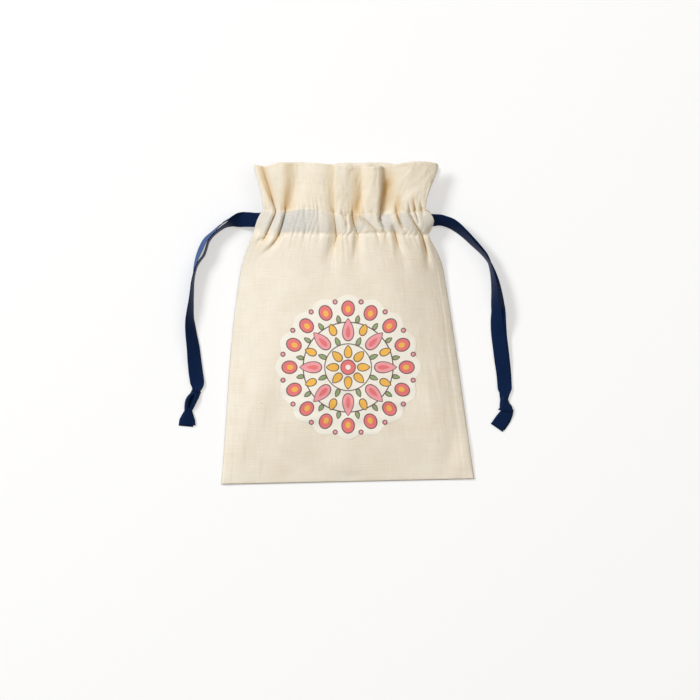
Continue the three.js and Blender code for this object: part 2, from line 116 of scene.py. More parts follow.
def seenDirectly(tree):  # 1 for rays from the camera, off gloss and through glass, else 0
    rays = tree.nodes.new("ShaderNodeLightPath")
    seen = rays.outputs["Is Camera Ray"]
    for ray in ("Is Glossy Ray", "Is Transmission Ray"):
        either = tree.nodes.new("ShaderNodeMath")
        either.operation = "MAXIMUM"
        tree.links.new(seen, either.inputs[0])
        tree.links.new(rays.outputs[ray], either.inputs[1])
        seen = either.outputs[0]
    return seen


surround = {"light": 0.255, "seen": 0.97, "tint": (1, 0.935, 0.83, 1)}
world = bpy.data.worlds.new("studioWorld")
scene.world = world
world.use_nodes = True
skyNodes, skyLinks = world.node_tree.nodes, world.node_tree.links
sky = skyNodes["Background"]
seen = seenDirectly(world.node_tree)
strength = skyNodes.new("ShaderNodeMapRange")
strength.inputs["To Min"].default_value = surround["light"]
strength.inputs["To Max"].default_value = surround["seen"]
skyLinks.new(seen, strength.inputs["Value"])
skyLinks.new(strength.outputs["Result"], sky.inputs["Strength"])
skyColour = skyNodes.new("ShaderNodeMix")
skyColour.data_type = "RGBA"
skyColour.inputs[6].default_value = surround["tint"]
skyColour.inputs[7].default_value = (1, 1, 1, 1)
skyLinks.new(seen, skyColour.inputs[0])
skyLinks.new(skyColour.outputs[2], sky.inputs["Color"])
print("camera and light set")


# materials
def newMaterial(name, roughness, specular):
    material = bpy.data.materials.new(name)
    material.use_nodes = True
    nodes = material.node_tree.nodes
    shader = nodes["Principled BSDF"]
    shader.inputs["Roughness"].default_value = roughness
    shader.inputs["Specular IOR Level"].default_value = specular
    return material, nodes, material.node_tree.links, shader


def addNode(nodes, kind, **sockets):
    node = nodes.new(kind)
    for socket, value in sockets.items():
        node.inputs[socket].default_value = value
    return node


def mathNode(material, operation, *values):
    nodes, links = material.node_tree.nodes, material.node_tree.links
    node = nodes.new("ShaderNodeMath")
    node.operation = operation
    for socket, value in zip(node.inputs, values):
        if isinstance(value, (int, float)):
            socket.default_value = value
        else:
            links.new(value, socket)
    return node.outputs[0]


def mixColour(material, share, first, second):
    nodes, links = material.node_tree.nodes, material.node_tree.links
    node = nodes.new("ShaderNodeMix")
    node.data_type = "RGBA"
    sockets = (node.inputs[0], node.inputs[6], node.inputs[7])
    for socket, value in zip(sockets, (share, first, second)):
        if hasattr(value, "is_linked"):
            links.new(value, socket)
        else:
            socket.default_value = value
    return node.outputs[2]


def noiseAt(material, vector, stretch, detail=2.0):  # noise with so many cells per metre each way
    nodes, links = material.node_tree.nodes, material.node_tree.links
    mapping = addNode(nodes, "ShaderNodeMapping", Scale=(*stretch, 1.0))
    noise = addNode(nodes, "ShaderNodeTexNoise", Scale=1.0, Detail=detail)
    links.new(vector, mapping.inputs["Vector"])
    links.new(mapping.outputs["Vector"], noise.inputs["Vector"])
    return noise.outputs["Fac"]


def uvMap(material, name):
    node = addNode(material.node_tree.nodes, "ShaderNodeUVMap")
    node.uv_map = name
    return node.outputs["UV"]


def pointValue(material, name):  # the value that the mesh's points carry under that name
    node = addNode(material.node_tree.nodes, "ShaderNodeAttribute")
    node.attribute_name = name
    return node.outputs["Fac"]


def addBump(material, height, strength, depth):
    nodes, links = material.node_tree.nodes, material.node_tree.links
    bump = addNode(nodes, "ShaderNodeBump", Strength=strength, Distance=depth * mm)
    links.new(height, bump.inputs["Height"])
    links.new(bump.outputs["Normal"], nodes["Principled BSDF"].inputs["Normal"])


# the cotton's colours and weave, with its cells counted per metre of flat cloth
cloth = {
    "cream": (0.912, 0.862, 0.765, 1), "shade": (0.835, 0.760, 0.628, 1),
    # fold and crease are the colours of painted shade in folds and creases
    "fold": (0.76, 0.585, 0.32, 1), "crease": (0.50, 0.29, 0.09, 1),
    "overRibbon": (0.60, 0.602, 0.595, 1), "speck": (0.36, 0.25, 0.13, 1),
    "roughness": 0.92, "specular": 0.15, "sheen": 0.12,
    "slubCells": (1500, 55), "mottleCells": (60, 60), "mottle": 0.5, "toneFrom": 0.55, "toneTo": 0.95,
    "blotchCells": (850, 850), "blotch": 2.0, "blotchBase": -0.2, "deepening": 2.0,
    "speckCells": 130.0, "speckSize": 0.035, "patchCells": (47, 47), "patchFrom": 0.58,
    "threadPitch": 0.55, "threadWaver": 0.6, "weave": 0.35, "relief": 0.12,
}


def cottonMaterial():
    material, nodes, links, shader = newMaterial("naturalCotton", cloth["roughness"], cloth["specular"])
    shader.inputs["Sheen Weight"].default_value = cloth["sheen"]
    uv = uvMap(material, "flatCut")
    warp = noiseAt(material, uv, cloth["slubCells"])
    weft = noiseAt(material, uv, cloth["slubCells"][::-1])
    slub = mathNode(material, "MULTIPLY", mathNode(material, "ADD", warp, weft), 0.5)
    mottle = noiseAt(material, uv, cloth["mottleCells"], 3.0)
    tone = mathNode(material, "ADD", slub, mathNode(material, "MULTIPLY", mottle, cloth["mottle"]))
    limits = {"From Min": cloth["toneFrom"], "From Max": cloth["toneTo"]}
    toneShare = addNode(nodes, "ShaderNodeMapRange", **limits)
    links.new(tone, toneShare.inputs["Value"])
    colour = mixColour(material, toneShare.outputs["Result"], cloth["shade"], cloth["cream"])
    # the ribbon shows through in blotches
    blotch = noiseAt(material, uv, cloth["blotchCells"], 3.0)
    blotch = mathNode(material, "MULTIPLY_ADD", blotch, cloth["blotch"], cloth["blotchBase"])
    behind = mathNode(material, "MULTIPLY", pointValue(material, "ribbonBehind"), blotch)
    colour = mixColour(material, behind, colour, cloth["overRibbon"])
    # painted shade: folds turn the cloth gold and creases brown, by the share in foldShade
    folds = pointValue(material, "foldShade")
    deeper = mathNode(material, "POWER", folds, cloth["deepening"])
    folded = mixColour(material, deeper, cloth["fold"], cloth["crease"])
    colour = mixColour(material, folds, colour, folded)
    # a few dark specks of seed husk
    specks = addNode(nodes, "ShaderNodeTexVoronoi", Scale=cloth["speckCells"])
    links.new(uv, specks.inputs["Vector"])
    near = mathNode(material, "LESS_THAN", specks.outputs["Distance"], cloth["speckSize"])
    patches = noiseAt(material, uv, cloth["patchCells"])
    chosen = mathNode(material, "GREATER_THAN", patches, cloth["patchFrom"])
    colour = mixColour(material, mathNode(material, "MULTIPLY", near, chosen), colour, cloth["speck"])
    links.new(colour, shader.inputs["Base Color"])
    bands = math.pi / 10 / (cloth["threadPitch"] * mm)
    threads = []
    for direction in ("X", "Y"):
        wave = addNode(nodes, "ShaderNodeTexWave", Scale=bands, Distortion=cloth["threadWaver"])
        wave.bands_direction = direction
        links.new(uv, wave.inputs["Vector"])
        threads.append(wave.outputs["Fac"])
    weave = mathNode(material, "ADD", mathNode(material, "MULTIPLY", threads[0], threads[1]), slub)
    addBump(material, weave, cloth["weave"], cloth["relief"])
    return material


# the ribbon's two sides, the face smoother and darker; the reverse's paler blue is partly the satin's own
# paler back and partly a painted sheen
satin = {
    "face": (0.0030, 0.0100, 0.037, 1), "faceLight": (0.0058, 0.018, 0.064, 1), "faceRoughness": 0.42,
    # reverse: paler blue, part the satin's own back and part painted sheen of light glancing off it
    "reverse": (0.042, 0.085, 0.245, 1), "reverseLight": (0.066, 0.125, 0.325, 1),
    "reverseRoughness": 0.55, "specular": 0.07, "sheen": (0.3, 0.45, 1, 1),
    "floatCells": (160, 3200), "floats": 0.7, "crossCells": (2600, 120), "cross": 0.3,
    "weave": 0.4, "relief": 0.06,
}


def satinMaterial(side):
    material, nodes, links, shader = newMaterial(
        "satin" + side.capitalize(), satin[side + "Roughness"], satin["specular"])
    shader.inputs["Specular Tint"].default_value = satin["sheen"]
    uv = uvMap(material, "ribbonLay")
    floats = mathNode(material, "MULTIPLY", noiseAt(material, uv, satin["floatCells"]), satin["floats"])
    cross = mathNode(material, "MULTIPLY", noiseAt(material, uv, satin["crossCells"]), satin["cross"])
    share = mathNode(material, "ADD", floats, cross)
    links.new(mixColour(material, share, satin[side], satin[side + "Light"]), shader.inputs["Base Color"])
    addBump(material, share, satin["weave"], satin["relief"])
    return material


cotton = cottonMaterial()
satinFace = satinMaterial("face")
satinReverse = satinMaterial("reverse")


def addPiece(name, bm, materials):
    mesh = bpy.data.meshes.new(name)
    bm.to_mesh(mesh)
    bm.free()
    piece = bpy.data.objects.new(name, mesh)
    scene.collection.objects.link(piece)
    for material in materials:
        mesh.materials.append(material)
    mesh.polygons.foreach_set("use_smooth", [True] * len(mesh.polygons))
    return piece


def addThickness(piece, name, thickness, offset):
    solid = piece.modifiers.new(name, "SOLIDIFY")
    solid.thickness = thickness * mm
    solid.offset = offset
    return solid


# the pouch's outline and surfaces, much as its solids have them
pouch = {
    "frill": 34.0, "casing": 17.5, "slit": 3.0, "shoulderDrop": 26.0,
    "shoulderWidth": 144.0, "casingWidth": 126.0, "neckWidth": 116.0, "frillWidth": 132.0,
    "casingFlare": 1.6, "neckLean": -4.0, "frillLean": -1.0, "bottomSkew": 4.0,
    "edgeHeight": 1.0, "lowerHeight": 7.5, "lowerReach": 16.0, "bodyHeight": 15.5,
    "backMiddle": 2.65, "backEnd": 3.65, "frontMiddle": 13.55, "frontEnd": 7.55,
    "frontTop": 19.0, "frontSide": 11.3, "sideLift": 2.2, "frillRise": 1.5, "backFolds": 9,
    "crownFlat": 2.4, "crownFall": 0.7,
}
lowCorner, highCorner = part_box("pouch_cloth")
bottomY, topY = lowCorner.y / mm, highCorner.y / mm
pouchWidth = (highCorner.x - lowCorner.x) / mm
casingTopY = topY - pouch["frill"]
casingBottomY = casingTopY - pouch["casing"]
casingMiddleY = (casingTopY + casingBottomY) / 2
shoulderY = casingBottomY - pouch["shoulderDrop"]
slitY = casingBottomY - pouch["slit"]

bareWidth = curveThrough([
    (bottomY, pouchWidth), (shoulderY, pouch["shoulderWidth"]), (casingBottomY, pouch["casingWidth"]),
    (casingTopY, pouch["neckWidth"]), (topY, pouch["frillWidth"]),
])
centreAt = curveThrough([(bottomY, 0), (shoulderY, pouch["neckLean"]), (topY, pouch["frillLean"])])
middleHeight = curveThrough([
    (bottomY, pouch["edgeHeight"]), (bottomY + pouch["lowerReach"], pouch["lowerHeight"]),
    ((bottomY + shoulderY) / 2, pouch["bodyHeight"]), (casingBottomY, pouch["frontTop"]),
    (casingTopY, pouch["frontTop"]), (topY, pouch["frontTop"] + pouch["frillRise"]),
])
sideHeight = curveThrough([
    (bottomY, 0), (shoulderY - pouch["shoulderDrop"], 0),
    (slitY, pouch["sideLift"]), (topY, pouch["sideLift"] / 2),
])
sideThickness = curveThrough([
    (bottomY, pouch["edgeHeight"]), (shoulderY, pouch["edgeHeight"]),
    (casingBottomY, pouch["frontSide"] - pouch["sideLift"]),
    (topY, pouch["frontSide"] - pouch["sideLift"] + pouch["frillRise"]),
])


def casingShare(y):  # 0 at the casing's lower stitches, 1 at its upper ones
    return np.clip((y - casingBottomY) / pouch["casing"], 0, 1)


def gatherShare(y):  # 1 from the casing up, 0 below the shoulder
    return 1 - ease((casingBottomY - y) / pouch["shoulderDrop"])


def widthAt(y):
    return bareWidth(y) + 2 * pouch["casingFlare"] * np.sin(np.pi * casingShare(y))


def leftAt(y):
    return centreAt(y) - widthAt(y) / 2


def rightAt(y):
    return centreAt(y) + widthAt(y) / 2


def girthAt(y):
    casingSpan = widthAt(casingMiddleY)
    onFrill = lerp(casingSpan, pouch["frillWidth"], (y - casingTopY) / pouch["frill"])
    return np.where(y > casingTopY, onFrill, np.where(y > casingBottomY, casingSpan, bareWidth(y)))


def crown(x, y):
    share = np.clip(np.abs(x - centreAt(y)) / (girthAt(y) / 2), 0, 1)
    return (1 - share ** pouch["crownFlat"]) ** pouch["crownFall"]


def frontPlane(x):
    return lerp(pouch["frontEnd"], pouch["frontMiddle"], crown(x, casingMiddleY))


def backPlane(x):
    return lerp(pouch["backEnd"], pouch["backMiddle"], crown(x, casingMiddleY))


# ribbons
ribbon = {
    "width": 10.2, "thickness": 0.34, "neck": 5.4, "pinch": 7.0, "tunnel": 12.0, "clearance": 0.3,
    "layer": 0.35, "overlap": 0.45, "restGap": 0.35, "leave": 26.0, "rise": 12.0, "knotHeight": 1.5,
    "lanes": 13, "cup": 0.25, "pleat": 1.1, "stationsPerMark": 4,
    "inside": 14.0, "insideMarks": (1, 0.66, 0.33), "casingStations": 50, "casingCup": 0.1,
    "turnInset": 1.5, "turnWidth": 4.6, "turnStations": 9, "turnAngle": 1.4, "crease": 25.0,
    "knotStations": 6, "knotPleat": 0.1,
}
# x, y and tilt of each mark of a strand, from the casing to its knot; the outer edge stands up
strandMarks = {
    "leftFront": [
        (-65.4, 73.1, 4), (-71.1, 73.3, 10), (-76.8, 73, 22), (-81.1, 72.1, 45), (-83.8, 70.7, 67),
        (-86, 69.6, 77), (-88.4, 68.3, 81), (-91.3, 66.2, 84), (-96.1, 62.1, 85), (-99.1, 57.9, 86),
        (-100.9, 52.1, 86), (-102.5, 47.9, 86), (-105.4, 44.1, 86), (-107.9, 39.6, 86),
        (-109.4, 34.3, 85), (-110.4, 28.6, 82), (-111.3, 16.4, 76), (-112.4, 3.6, 60),
        (-112.1, -1.4, 52), (-111.4, -8.6, 42), (-110.1, -17.6, 32), (-109.4, -26.4, 20),
        (-108.4, -35.5, 8), (-107.4, -44.3, 0), (-108.4, -49.3, 0),
    ],
    "leftBack": [
        (-65.4, 73.3, 5), (-71.1, 74.4, 28), (-76.8, 76.2, 66), (-80.6, 75.8, 84), (-83.9, 74.1, 90),
        (-88.2, 71.6, 91), (-91.2, 69.3, 98), (-95.8, 64.5, 106), (-101.3, 59.3, 110),
        (-104.8, 52.5, 112), (-107.7, 44.9, 106), (-109.3, 37.9, 100), (-110.1, 32.9, 93),
        (-110.7, 27.1, 84), (-111.6, 16.4, 77), (-112.6, 3.6, 61), (-112.4, -1.4, 53),
        (-111.6, -8.6, 43), (-110.3, -17.6, 33), (-109.4, -26.4, 21), (-108.5, -35.5, 8),
        (-107.4, -44.3, 0), (-108.4, -49.3, 0),
    ],
    "rightFront": [
        (59.6, 73.1, 38), (67, 72.9, 45), (73.2, 70.6, 52), (78.2, 67.3, 58), (83.2, 62.9, 65),
        (89.6, 56.2, 73), (96.1, 49.6, 78), (100.6, 43.2, 83), (102.6, 37.1, 78), (104.1, 30, 70),
        (104.9, 21.4, 63), (105.4, 13.6, 54), (106, 8.6, 48), (106.4, 0.4, 32), (107.4, -8.6, 15),
        (108.6, -17.6, 12), (109.7, -26.4, 10), (111.1, -35.5, 4), (111.9, -44.3, 0),
        (112.1, -49.3, 0), (111.9, -53.2, 0),
    ],
    "rightBack": [
        (59.6, 72.8, 40), (67, 73.1, 52), (73.2, 72.2, 63), (77.7, 69.9, 70), (82.1, 66.3, 75),
        (87.9, 60.4, 77), (93.2, 54.6, 78), (98.6, 47.9, 80), (101.1, 43, 85), (103.6, 37.1, 80),
        (106.1, 30, 77), (107.9, 22.5, 75), (109.4, 13.6, 72), (109.5, 8.6, 62), (108.6, 0.4, 38),
        (108.6, -8.6, 18), (109.6, -17.6, 13), (110.6, -26.4, 10), (111.5, -35.5, 4), (112, -44.3, 0),
        (112.1, -49.3, 0), (111.9, -53.2, 0),
    ],
}


def casingEnd(hand, y):
    return float(leftAt(y) if hand < 0 else rightAt(y))


def ribbonEdgeY(hand):
    return casingMiddleY - hand * (ribbon["tunnel"] / 2 - ribbon["clearance"])


# a smooth curve through the marks, as (point, direction, place along the marks)
def throughMarks(marks, perMark):
    points = [2 * marks[0] - marks[1], *marks, 2 * marks[-1] - marks[-2]]
    stations = []
    for i in range(len(marks) - 1):
        a, b, c, d = points[i:i + 4]
        before, here, after = (max(math.sqrt((q - p).length), 1e-4) for p, q in ((a, b), (b, c), (c, d)))
        leaveB = ((b - a) / before - (c - a) / (before + here) + (c - b) / here) * here
        reachC = ((c - b) / here - (d - b) / (here + after) + (d - c) / after) * here
        last = i == len(marks) - 2
        for k in range(perMark + last):
            t = k / perMark
            point = cubic(t, b, leaveB, c, reachC)
            along = (
                (6 * t**2 - 6 * t) * b + (3 * t**2 - 4 * t + 1) * leaveB
                + (6 * t - 6 * t**2) * c + (3 * t**2 - 2 * t) * reachC
            )
            stations.append((point, along.normalized(), i + t))
    return stations


def strandStations(hand, layer, marks):  # layer 1 comes from the front casing, -1 from the back one
    x, y, tilt = marks[0]
    plane = frontPlane if layer > 0 else backPlane
    inside = []
    for share in ribbon["insideMarks"]:
        inside.append((x - hand * ribbon["inside"] * share, y, tilt * (1 - share)))
    spots = np.array([*inside, *marks], float)
    plan = throughMarks([Vector((a, b, 0)) for a, b, _ in spots], ribbon["stationsPerMark"])
    gone = [0.0]
    for (p, _, _), (q, _, _) in zip(plan, plan[1:]):
        gone.append(gone[-1] + (q - p).length)
    leaves = gone[len(inside) * ribbon["stationsPerMark"]]
    stations = []
    for (middle, along, place), reach in zip(plan, gone):
        rad = math.radians(np.interp(place, range(len(spots)), spots[:, 2]))
        left = gone[-1] - reach
        width = lerp(ribbon["width"], ribbon["neck"], 1 - ease(left / ribbon["pinch"]))
        level = Vector((0, 0, 1)).cross(along).normalized()
        half = level * math.cos(rad) + Vector((0, 0, 1)) * hand * math.sin(rad)
        upper = (1 + layer) * ribbon["overlap"] * max(0, math.cos(rad))
        lying = ribbon["restGap"] + upper / 2 + width / 2 * abs(math.sin(rad))
        inCasing = float(plane(middle.x)) - layer * hand * ribbon["layer"]
        leaving = 1 - ease((reach - leaves) / ribbon["leave"])
        rising = 1 - ease(left / ribbon["rise"])
        height = lerp(lerp(lying, inCasing, leaving), ribbon["knotHeight"] + upper / 2, rising)
        stations.append({
            "middle": Vector((middle.x, middle.y, max(height, lying))), "half": half * width / 2,
            "normal": along.cross(half), "bulge": ribbon["cup"],
            "pleat": ribbon["pleat"] * (1 - width / ribbon["width"]),
        })
    return stations


# one ribbon through the front casing, round the far slit and back through the back casing
def casingRun(hand):
    begin = casingEnd(hand, casingMiddleY) - hand * ribbon["inside"]
    turnY = ribbonEdgeY(hand) + hand * ribbon["turnWidth"] / 2
    far = casingEnd(-hand, turnY) + hand * (ribbon["turnInset"] + ribbon["turnWidth"] / 2)
    across = np.linspace(begin, far, ribbon["casingStations"])
    front = [Vector((x, 0, float(frontPlane(x)) - hand * ribbon["layer"])) for x in across]
    back = [Vector((x, 0, float(backPlane(x)) + hand * ribbon["layer"])) for x in across[::-1]]
    centre = (front[-1] + back[0]) / 2
    radius = front[-1].z - centre.z
    angles = np.linspace(ribbon["turnAngle"], -ribbon["turnAngle"], ribbon["turnStations"])
    turn = [centre + radius * Vector((-hand * math.cos(a), 0, math.sin(a))) for a in angles]
    middles = [*front, *turn, *back]
    stations = []
    for i, point in enumerate(middles):
        along = (middles[min(len(middles) - 1, i + 1)] - middles[max(0, i - 1)]).normalized()
        crease = ease(1 - abs(point.x - far) / ribbon["crease"])
        width = lerp(ribbon["width"], ribbon["turnWidth"], crease)
        half = Vector((0, -hand * width / 2, 0))
        stations.append({
            "middle": Vector((point.x, ribbonEdgeY(hand) + hand * width / 2, point.z)), "half": half,
            "normal": along.cross(half).normalized(), "bulge": ribbon["casingCup"], "pleat": 0,
        })
    return stations


# knots: each band of ribbon as marks of x, y, height, width and bulge
knots = {
    "left": [
        [(-107.7, -48.6, 0.8, 4.4, 1.0), (-108, -51.3, 1.0, 4.6, 2.2), (-109, -54.8, 0.9, 3.4, 2.7),
         (-110.7, -58.7, 0.9, 3.1, 2.4), (-112.3, -62, 0.7, 2.7, 1.3)],
        [(-108, -49.2, 2.6, 2.4, 0.8), (-112, -51.8, 1.6, 2.7, 1.9), (-114, -55.1, 0.9, 3.5, 2.5),
         (-114.7, -59.3, 0.9, 3.6, 2.3), (-114.5, -63.4, 0.8, 3.9, 1.5)],
        [(-107.6, -47.8, 0.5, 6.4, 0.1), (-109.8, -52.6, 0.5, 7.2, 0.2), (-112.4, -58, 0.5, 5.6, 0.2),
         (-113.5, -63, 0.5, 4.2, 0.2)],
        [(-113.2, -60.5, 1.3, 3.4, 1.2), (-113.7, -64, 1.1, 6.2, 1.0), (-114, -69, 0.9, 10, 0.7),
         (-114.1, -73, 0.8, 11, 0.4)],
        [(-113.2, -61, 0.6, 3.6, 0.6), (-114.2, -64.5, 0.5, 6.4, 0.4), (-115.2, -69.5, 0.4, 10, 0.2),
         (-115.6, -73.8, 0.35, 10.4, 0.1)],
    ],
    "right": [
        [(111.9, -50.6, 0.8, 7.2, 1.2), (111.7, -53, 0.8, 6.2, 2.3), (111.6, -55, 0.8, 5.4, 2.7),
         (112.1, -58.5, 1.2, 7.4, 2.2), (112.8, -61.3, 1.8, 9.6, 1.4), (112.5, -63, 1.9, 10.4, 0.9)],
        [(111.9, -50, 0.5, 7.4, 0.1), (111.7, -54.5, 0.5, 5.6, 0.2), (112.2, -58, 0.5, 7, 0.2),
         (112.8, -61, 0.5, 8.4, 0.2)],
        [(115.4, -60.5, 1.1, 6.5, 0.5), (113.6, -64.2, 1.0, 9.2, 0.4), (110.4, -69, 0.9, 10.2, 0.3),
         (106.3, -74.9, 0.7, 10.3, 0.2)],
        [(114, -59, 0.6, 5, 0.3), (114, -63, 0.5, 8.5, 0.2), (111.8, -68, 0.4, 10, 0.1),
         (107.9, -73.8, 0.35, 10, 0.1)],
    ],
}


def bandStations(marks):
    stations = []
    spots = np.array(marks, float)
    middles = [Vector(mark[:3]) for mark in marks]
    for point, along, place in throughMarks(middles, ribbon["knotStations"]):
        level = Vector((0, 0, 1)).cross(along).normalized()
        width, bulge = (np.interp(place, range(len(marks)), spots[:, k]) for k in (3, 4))
        stations.append({
            "middle": point, "half": level * width / 2, "normal": along.cross(level),
            "bulge": bulge, "pleat": ribbon["knotPleat"],
        })
    return stations


def sweepRibbon(bm, stations):  # a strip of ribbon extruded from station to station
    lane = bm.verts.layers.int.get("lane") or bm.verts.layers.int.new("lane")
    length = bm.verts.layers.float.get("length") or bm.verts.layers.float.new("length")
    lanes = ribbon["lanes"]

    def place(vert, spot):
        share = 2 * vert[lane] / (lanes - 1) - 1
        lift = spot["bulge"] * (1 - share * share) + spot["pleat"] * math.cos(3 * math.pi * share)
        vert.co = (spot["middle"] + spot["half"] * share + spot["normal"] * lift) * mm

    row = [bm.verts.new() for _ in range(lanes)]
    for i, vert in enumerate(row):
        vert[lane] = i
        vert[length] = 0
        place(vert, stations[0])
    edges = [bm.edges.new(pair) for pair in zip(row, row[1:])]
    reach = 0.0
    for before, spot in zip(stations, stations[1:]):
        reach += (spot["middle"] - before["middle"]).length
        made = bmesh.ops.extrude_edge_only(bm, edges=edges)["geom"]
        fresh = {item for item in made if isinstance(item, bmesh.types.BMVert)}
        lines = [item for item in made if isinstance(item, bmesh.types.BMEdge)]
        edges = [line for line in lines if set(line.verts) <= fresh]
        for vert in fresh:
            vert[length] = reach
            place(vert, spot)


def finishRibbon(name, bm):
    uvLayer = bm.loops.layers.uv.new("ribbonLay")
    lane = bm.verts.layers.int["lane"]
    length = bm.verts.layers.float["length"]
    laneWidth = ribbon["width"] / (ribbon["lanes"] - 1)
    for face in bm.faces:
        for loop in face.loops:
            loop[uvLayer].uv = (loop.vert[length] * mm, loop.vert[lane] * laneWidth * mm)
    bm.verts.index_update()
    bm.faces.sort(key=lambda face: min(vert.index for vert in face.verts))  # the same order on each run
    piece = addPiece(name, bm, [satinFace, satinReverse])
    addThickness(piece, "ribbonThickness", ribbon["thickness"], 0).material_offset = 1
    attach(piece, "root")
    return piece


for side, hand in (("left", -1), ("right", 1)):
    bm = bmesh.new()
    sweepRibbon(bm, casingRun(hand))
    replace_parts(finishRibbon(f"{side}RibbonCasingRun", bm), f"{side}_ribbon_casing_run")
    bm = bmesh.new()
    for marks in knots[side]:
        sweepRibbon(bm, bandStations(marks))
    knot = finishRibbon(f"{side}RibbonKnot", bm)
    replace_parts(knot, f"{side}_ribbon_knot")
    for end, layer in (("Front", 1), ("Back", -1)):
        stations = strandStations(hand, layer, strandMarks[side + end])
        bm = bmesh.new()
        sweepRibbon(bm, stations)
        strand = finishRibbon(f"{side}Ribbon{end}End", bm)
        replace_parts(strand, f"{side}_ribbon_{end.lower()}_end")
        points = [spot["middle"] * mm for spot in stations]

# the cloth: a front and a back sewn together, gathered at the casing and settled as cloth
sheet = {
    "columns": 240, "bodyRows": 43, "casingRows": 16, "frillRows": 22, "rowCrowding": 1.5,
    "foldRows": (0, 0.5, 1.1, 2.0, 3.5), "bodyStart": 5.5, "panelsApart": 300.0, "thickness": 0.5,
    "ridgeLift": 1.8, "sideFolds": 0.55, "puff": 0.7, "backPucker": 2.2, "backRest": 0.3,
    "leftFlare": 0.3, "rightFlare": 3.9, "flareLow": 1.6, "flareFull": 0.42,
    "rightPinch": 2.4, "pinchReach": 10.0, "samples": 1500, "slack": 0.5, "simScale": 10.0, "frames": 14,
    "ribbonRoom": 1.1, "roomFade": 6.0, "roomReach": 4.0, "frontLowest": 0.9, "backLowest": 0.55,
}
# the cloth's stiffness and pressure while it settles, under Blender's own names
settling = {
    "quality": 6, "mass": 0.05, "tension_stiffness": 15, "compression_stiffness": 8,
    "shear_stiffness": 5, "bending_stiffness": 0.15, "tension_damping": 10, "compression_damping": 10,
    "use_pressure": True, "uniform_pressure_force": 0.12,
}
# the side seams, the frill's hem and the stitched rows along the casings
seams = {
    "allowance": 7.0, "rise": 0.25, "riseReach": 1.2, "hem": 0.2, "hemRows": 2,
    "stitch": 2.5, "gap": 0.7, "first": 1.0, "thread": 0.17, "threadSides": 6, "threadLift": 0.5,
    "sink": 0.6, "sinkReach": 1.5, "ripple": 0.45, "ripplePitch": 5.4, "rippleReach": 4.5,
    "roughness": 0.8, "specular": 0.2,
}
# soft unevenness of a body that has been handled, which fades out to its edges
rumple = {
    "height": 0.3, "slant": 0.5, "sideFlat": 6.0, "sideReach": 18.0,
    "bottomFlat": 3.0, "bottomReach": 14.0, "topReach": 50.0,
}
# the soft fold at the bottom's right corner: a dent, and a ridge between it and the edge
cornerFold = {
    "x": 74.0, "y": -97.5, "lean": 0.42, "reach": 14.0, "dent": 0.8, "dentWidth": 5.0,
    "ridge": 1.1, "ridgeWidth": 6.0, "apart": 11.0,
}
# how far the cloth's rows stray from straight lines, at each x
upperStray = curveThrough([
    (-60, 0), (-51, -1.6), (-44, -0.9), (-38, 0.1), (-31, 0.8), (-22, 0.2), (-15, -1.9), (-9, -3.4),
    (-4, -3.9), (3, -3), (9, -4), (17, -2.6), (22, -3.8), (28, -3.2), (35, -2.1), (43, -1.2),
    (58, -0.8),
])
lowerStray = curveThrough([
    (-68, 3), (-63, 1.2), (-58, -1.4), (-49, -1.6), (-42, 0.3), (-15, 0.4), (-3, -0.3), (8, 0.6),
    (32, 0.9), (38, -0.4), (53, -0.9), (60, 0.8),
])
topStray = curveThrough([
    (-66.4, -1.8), (-59.6, -2.9), (-53.9, -1.4), (-48.2, 0), (-36, 0), (-12.5, -1.4), (-8.2, -2.9),
    (23.2, -2.9), (27.5, -2.1), (31.8, -1.4), (48.2, 0.7), (58.9, 0.1), (61.8, -0.4), (63.6, -1),
    (64.6, -2.3), (65.2, -3.7),
])
backTopStray = curveThrough([
    (-67, -4), (-50, -3), (-12, -1.6), (-5, -0.5), (25, -0.3), (32, -1.2), (40, -1.5), (65, -4),
])
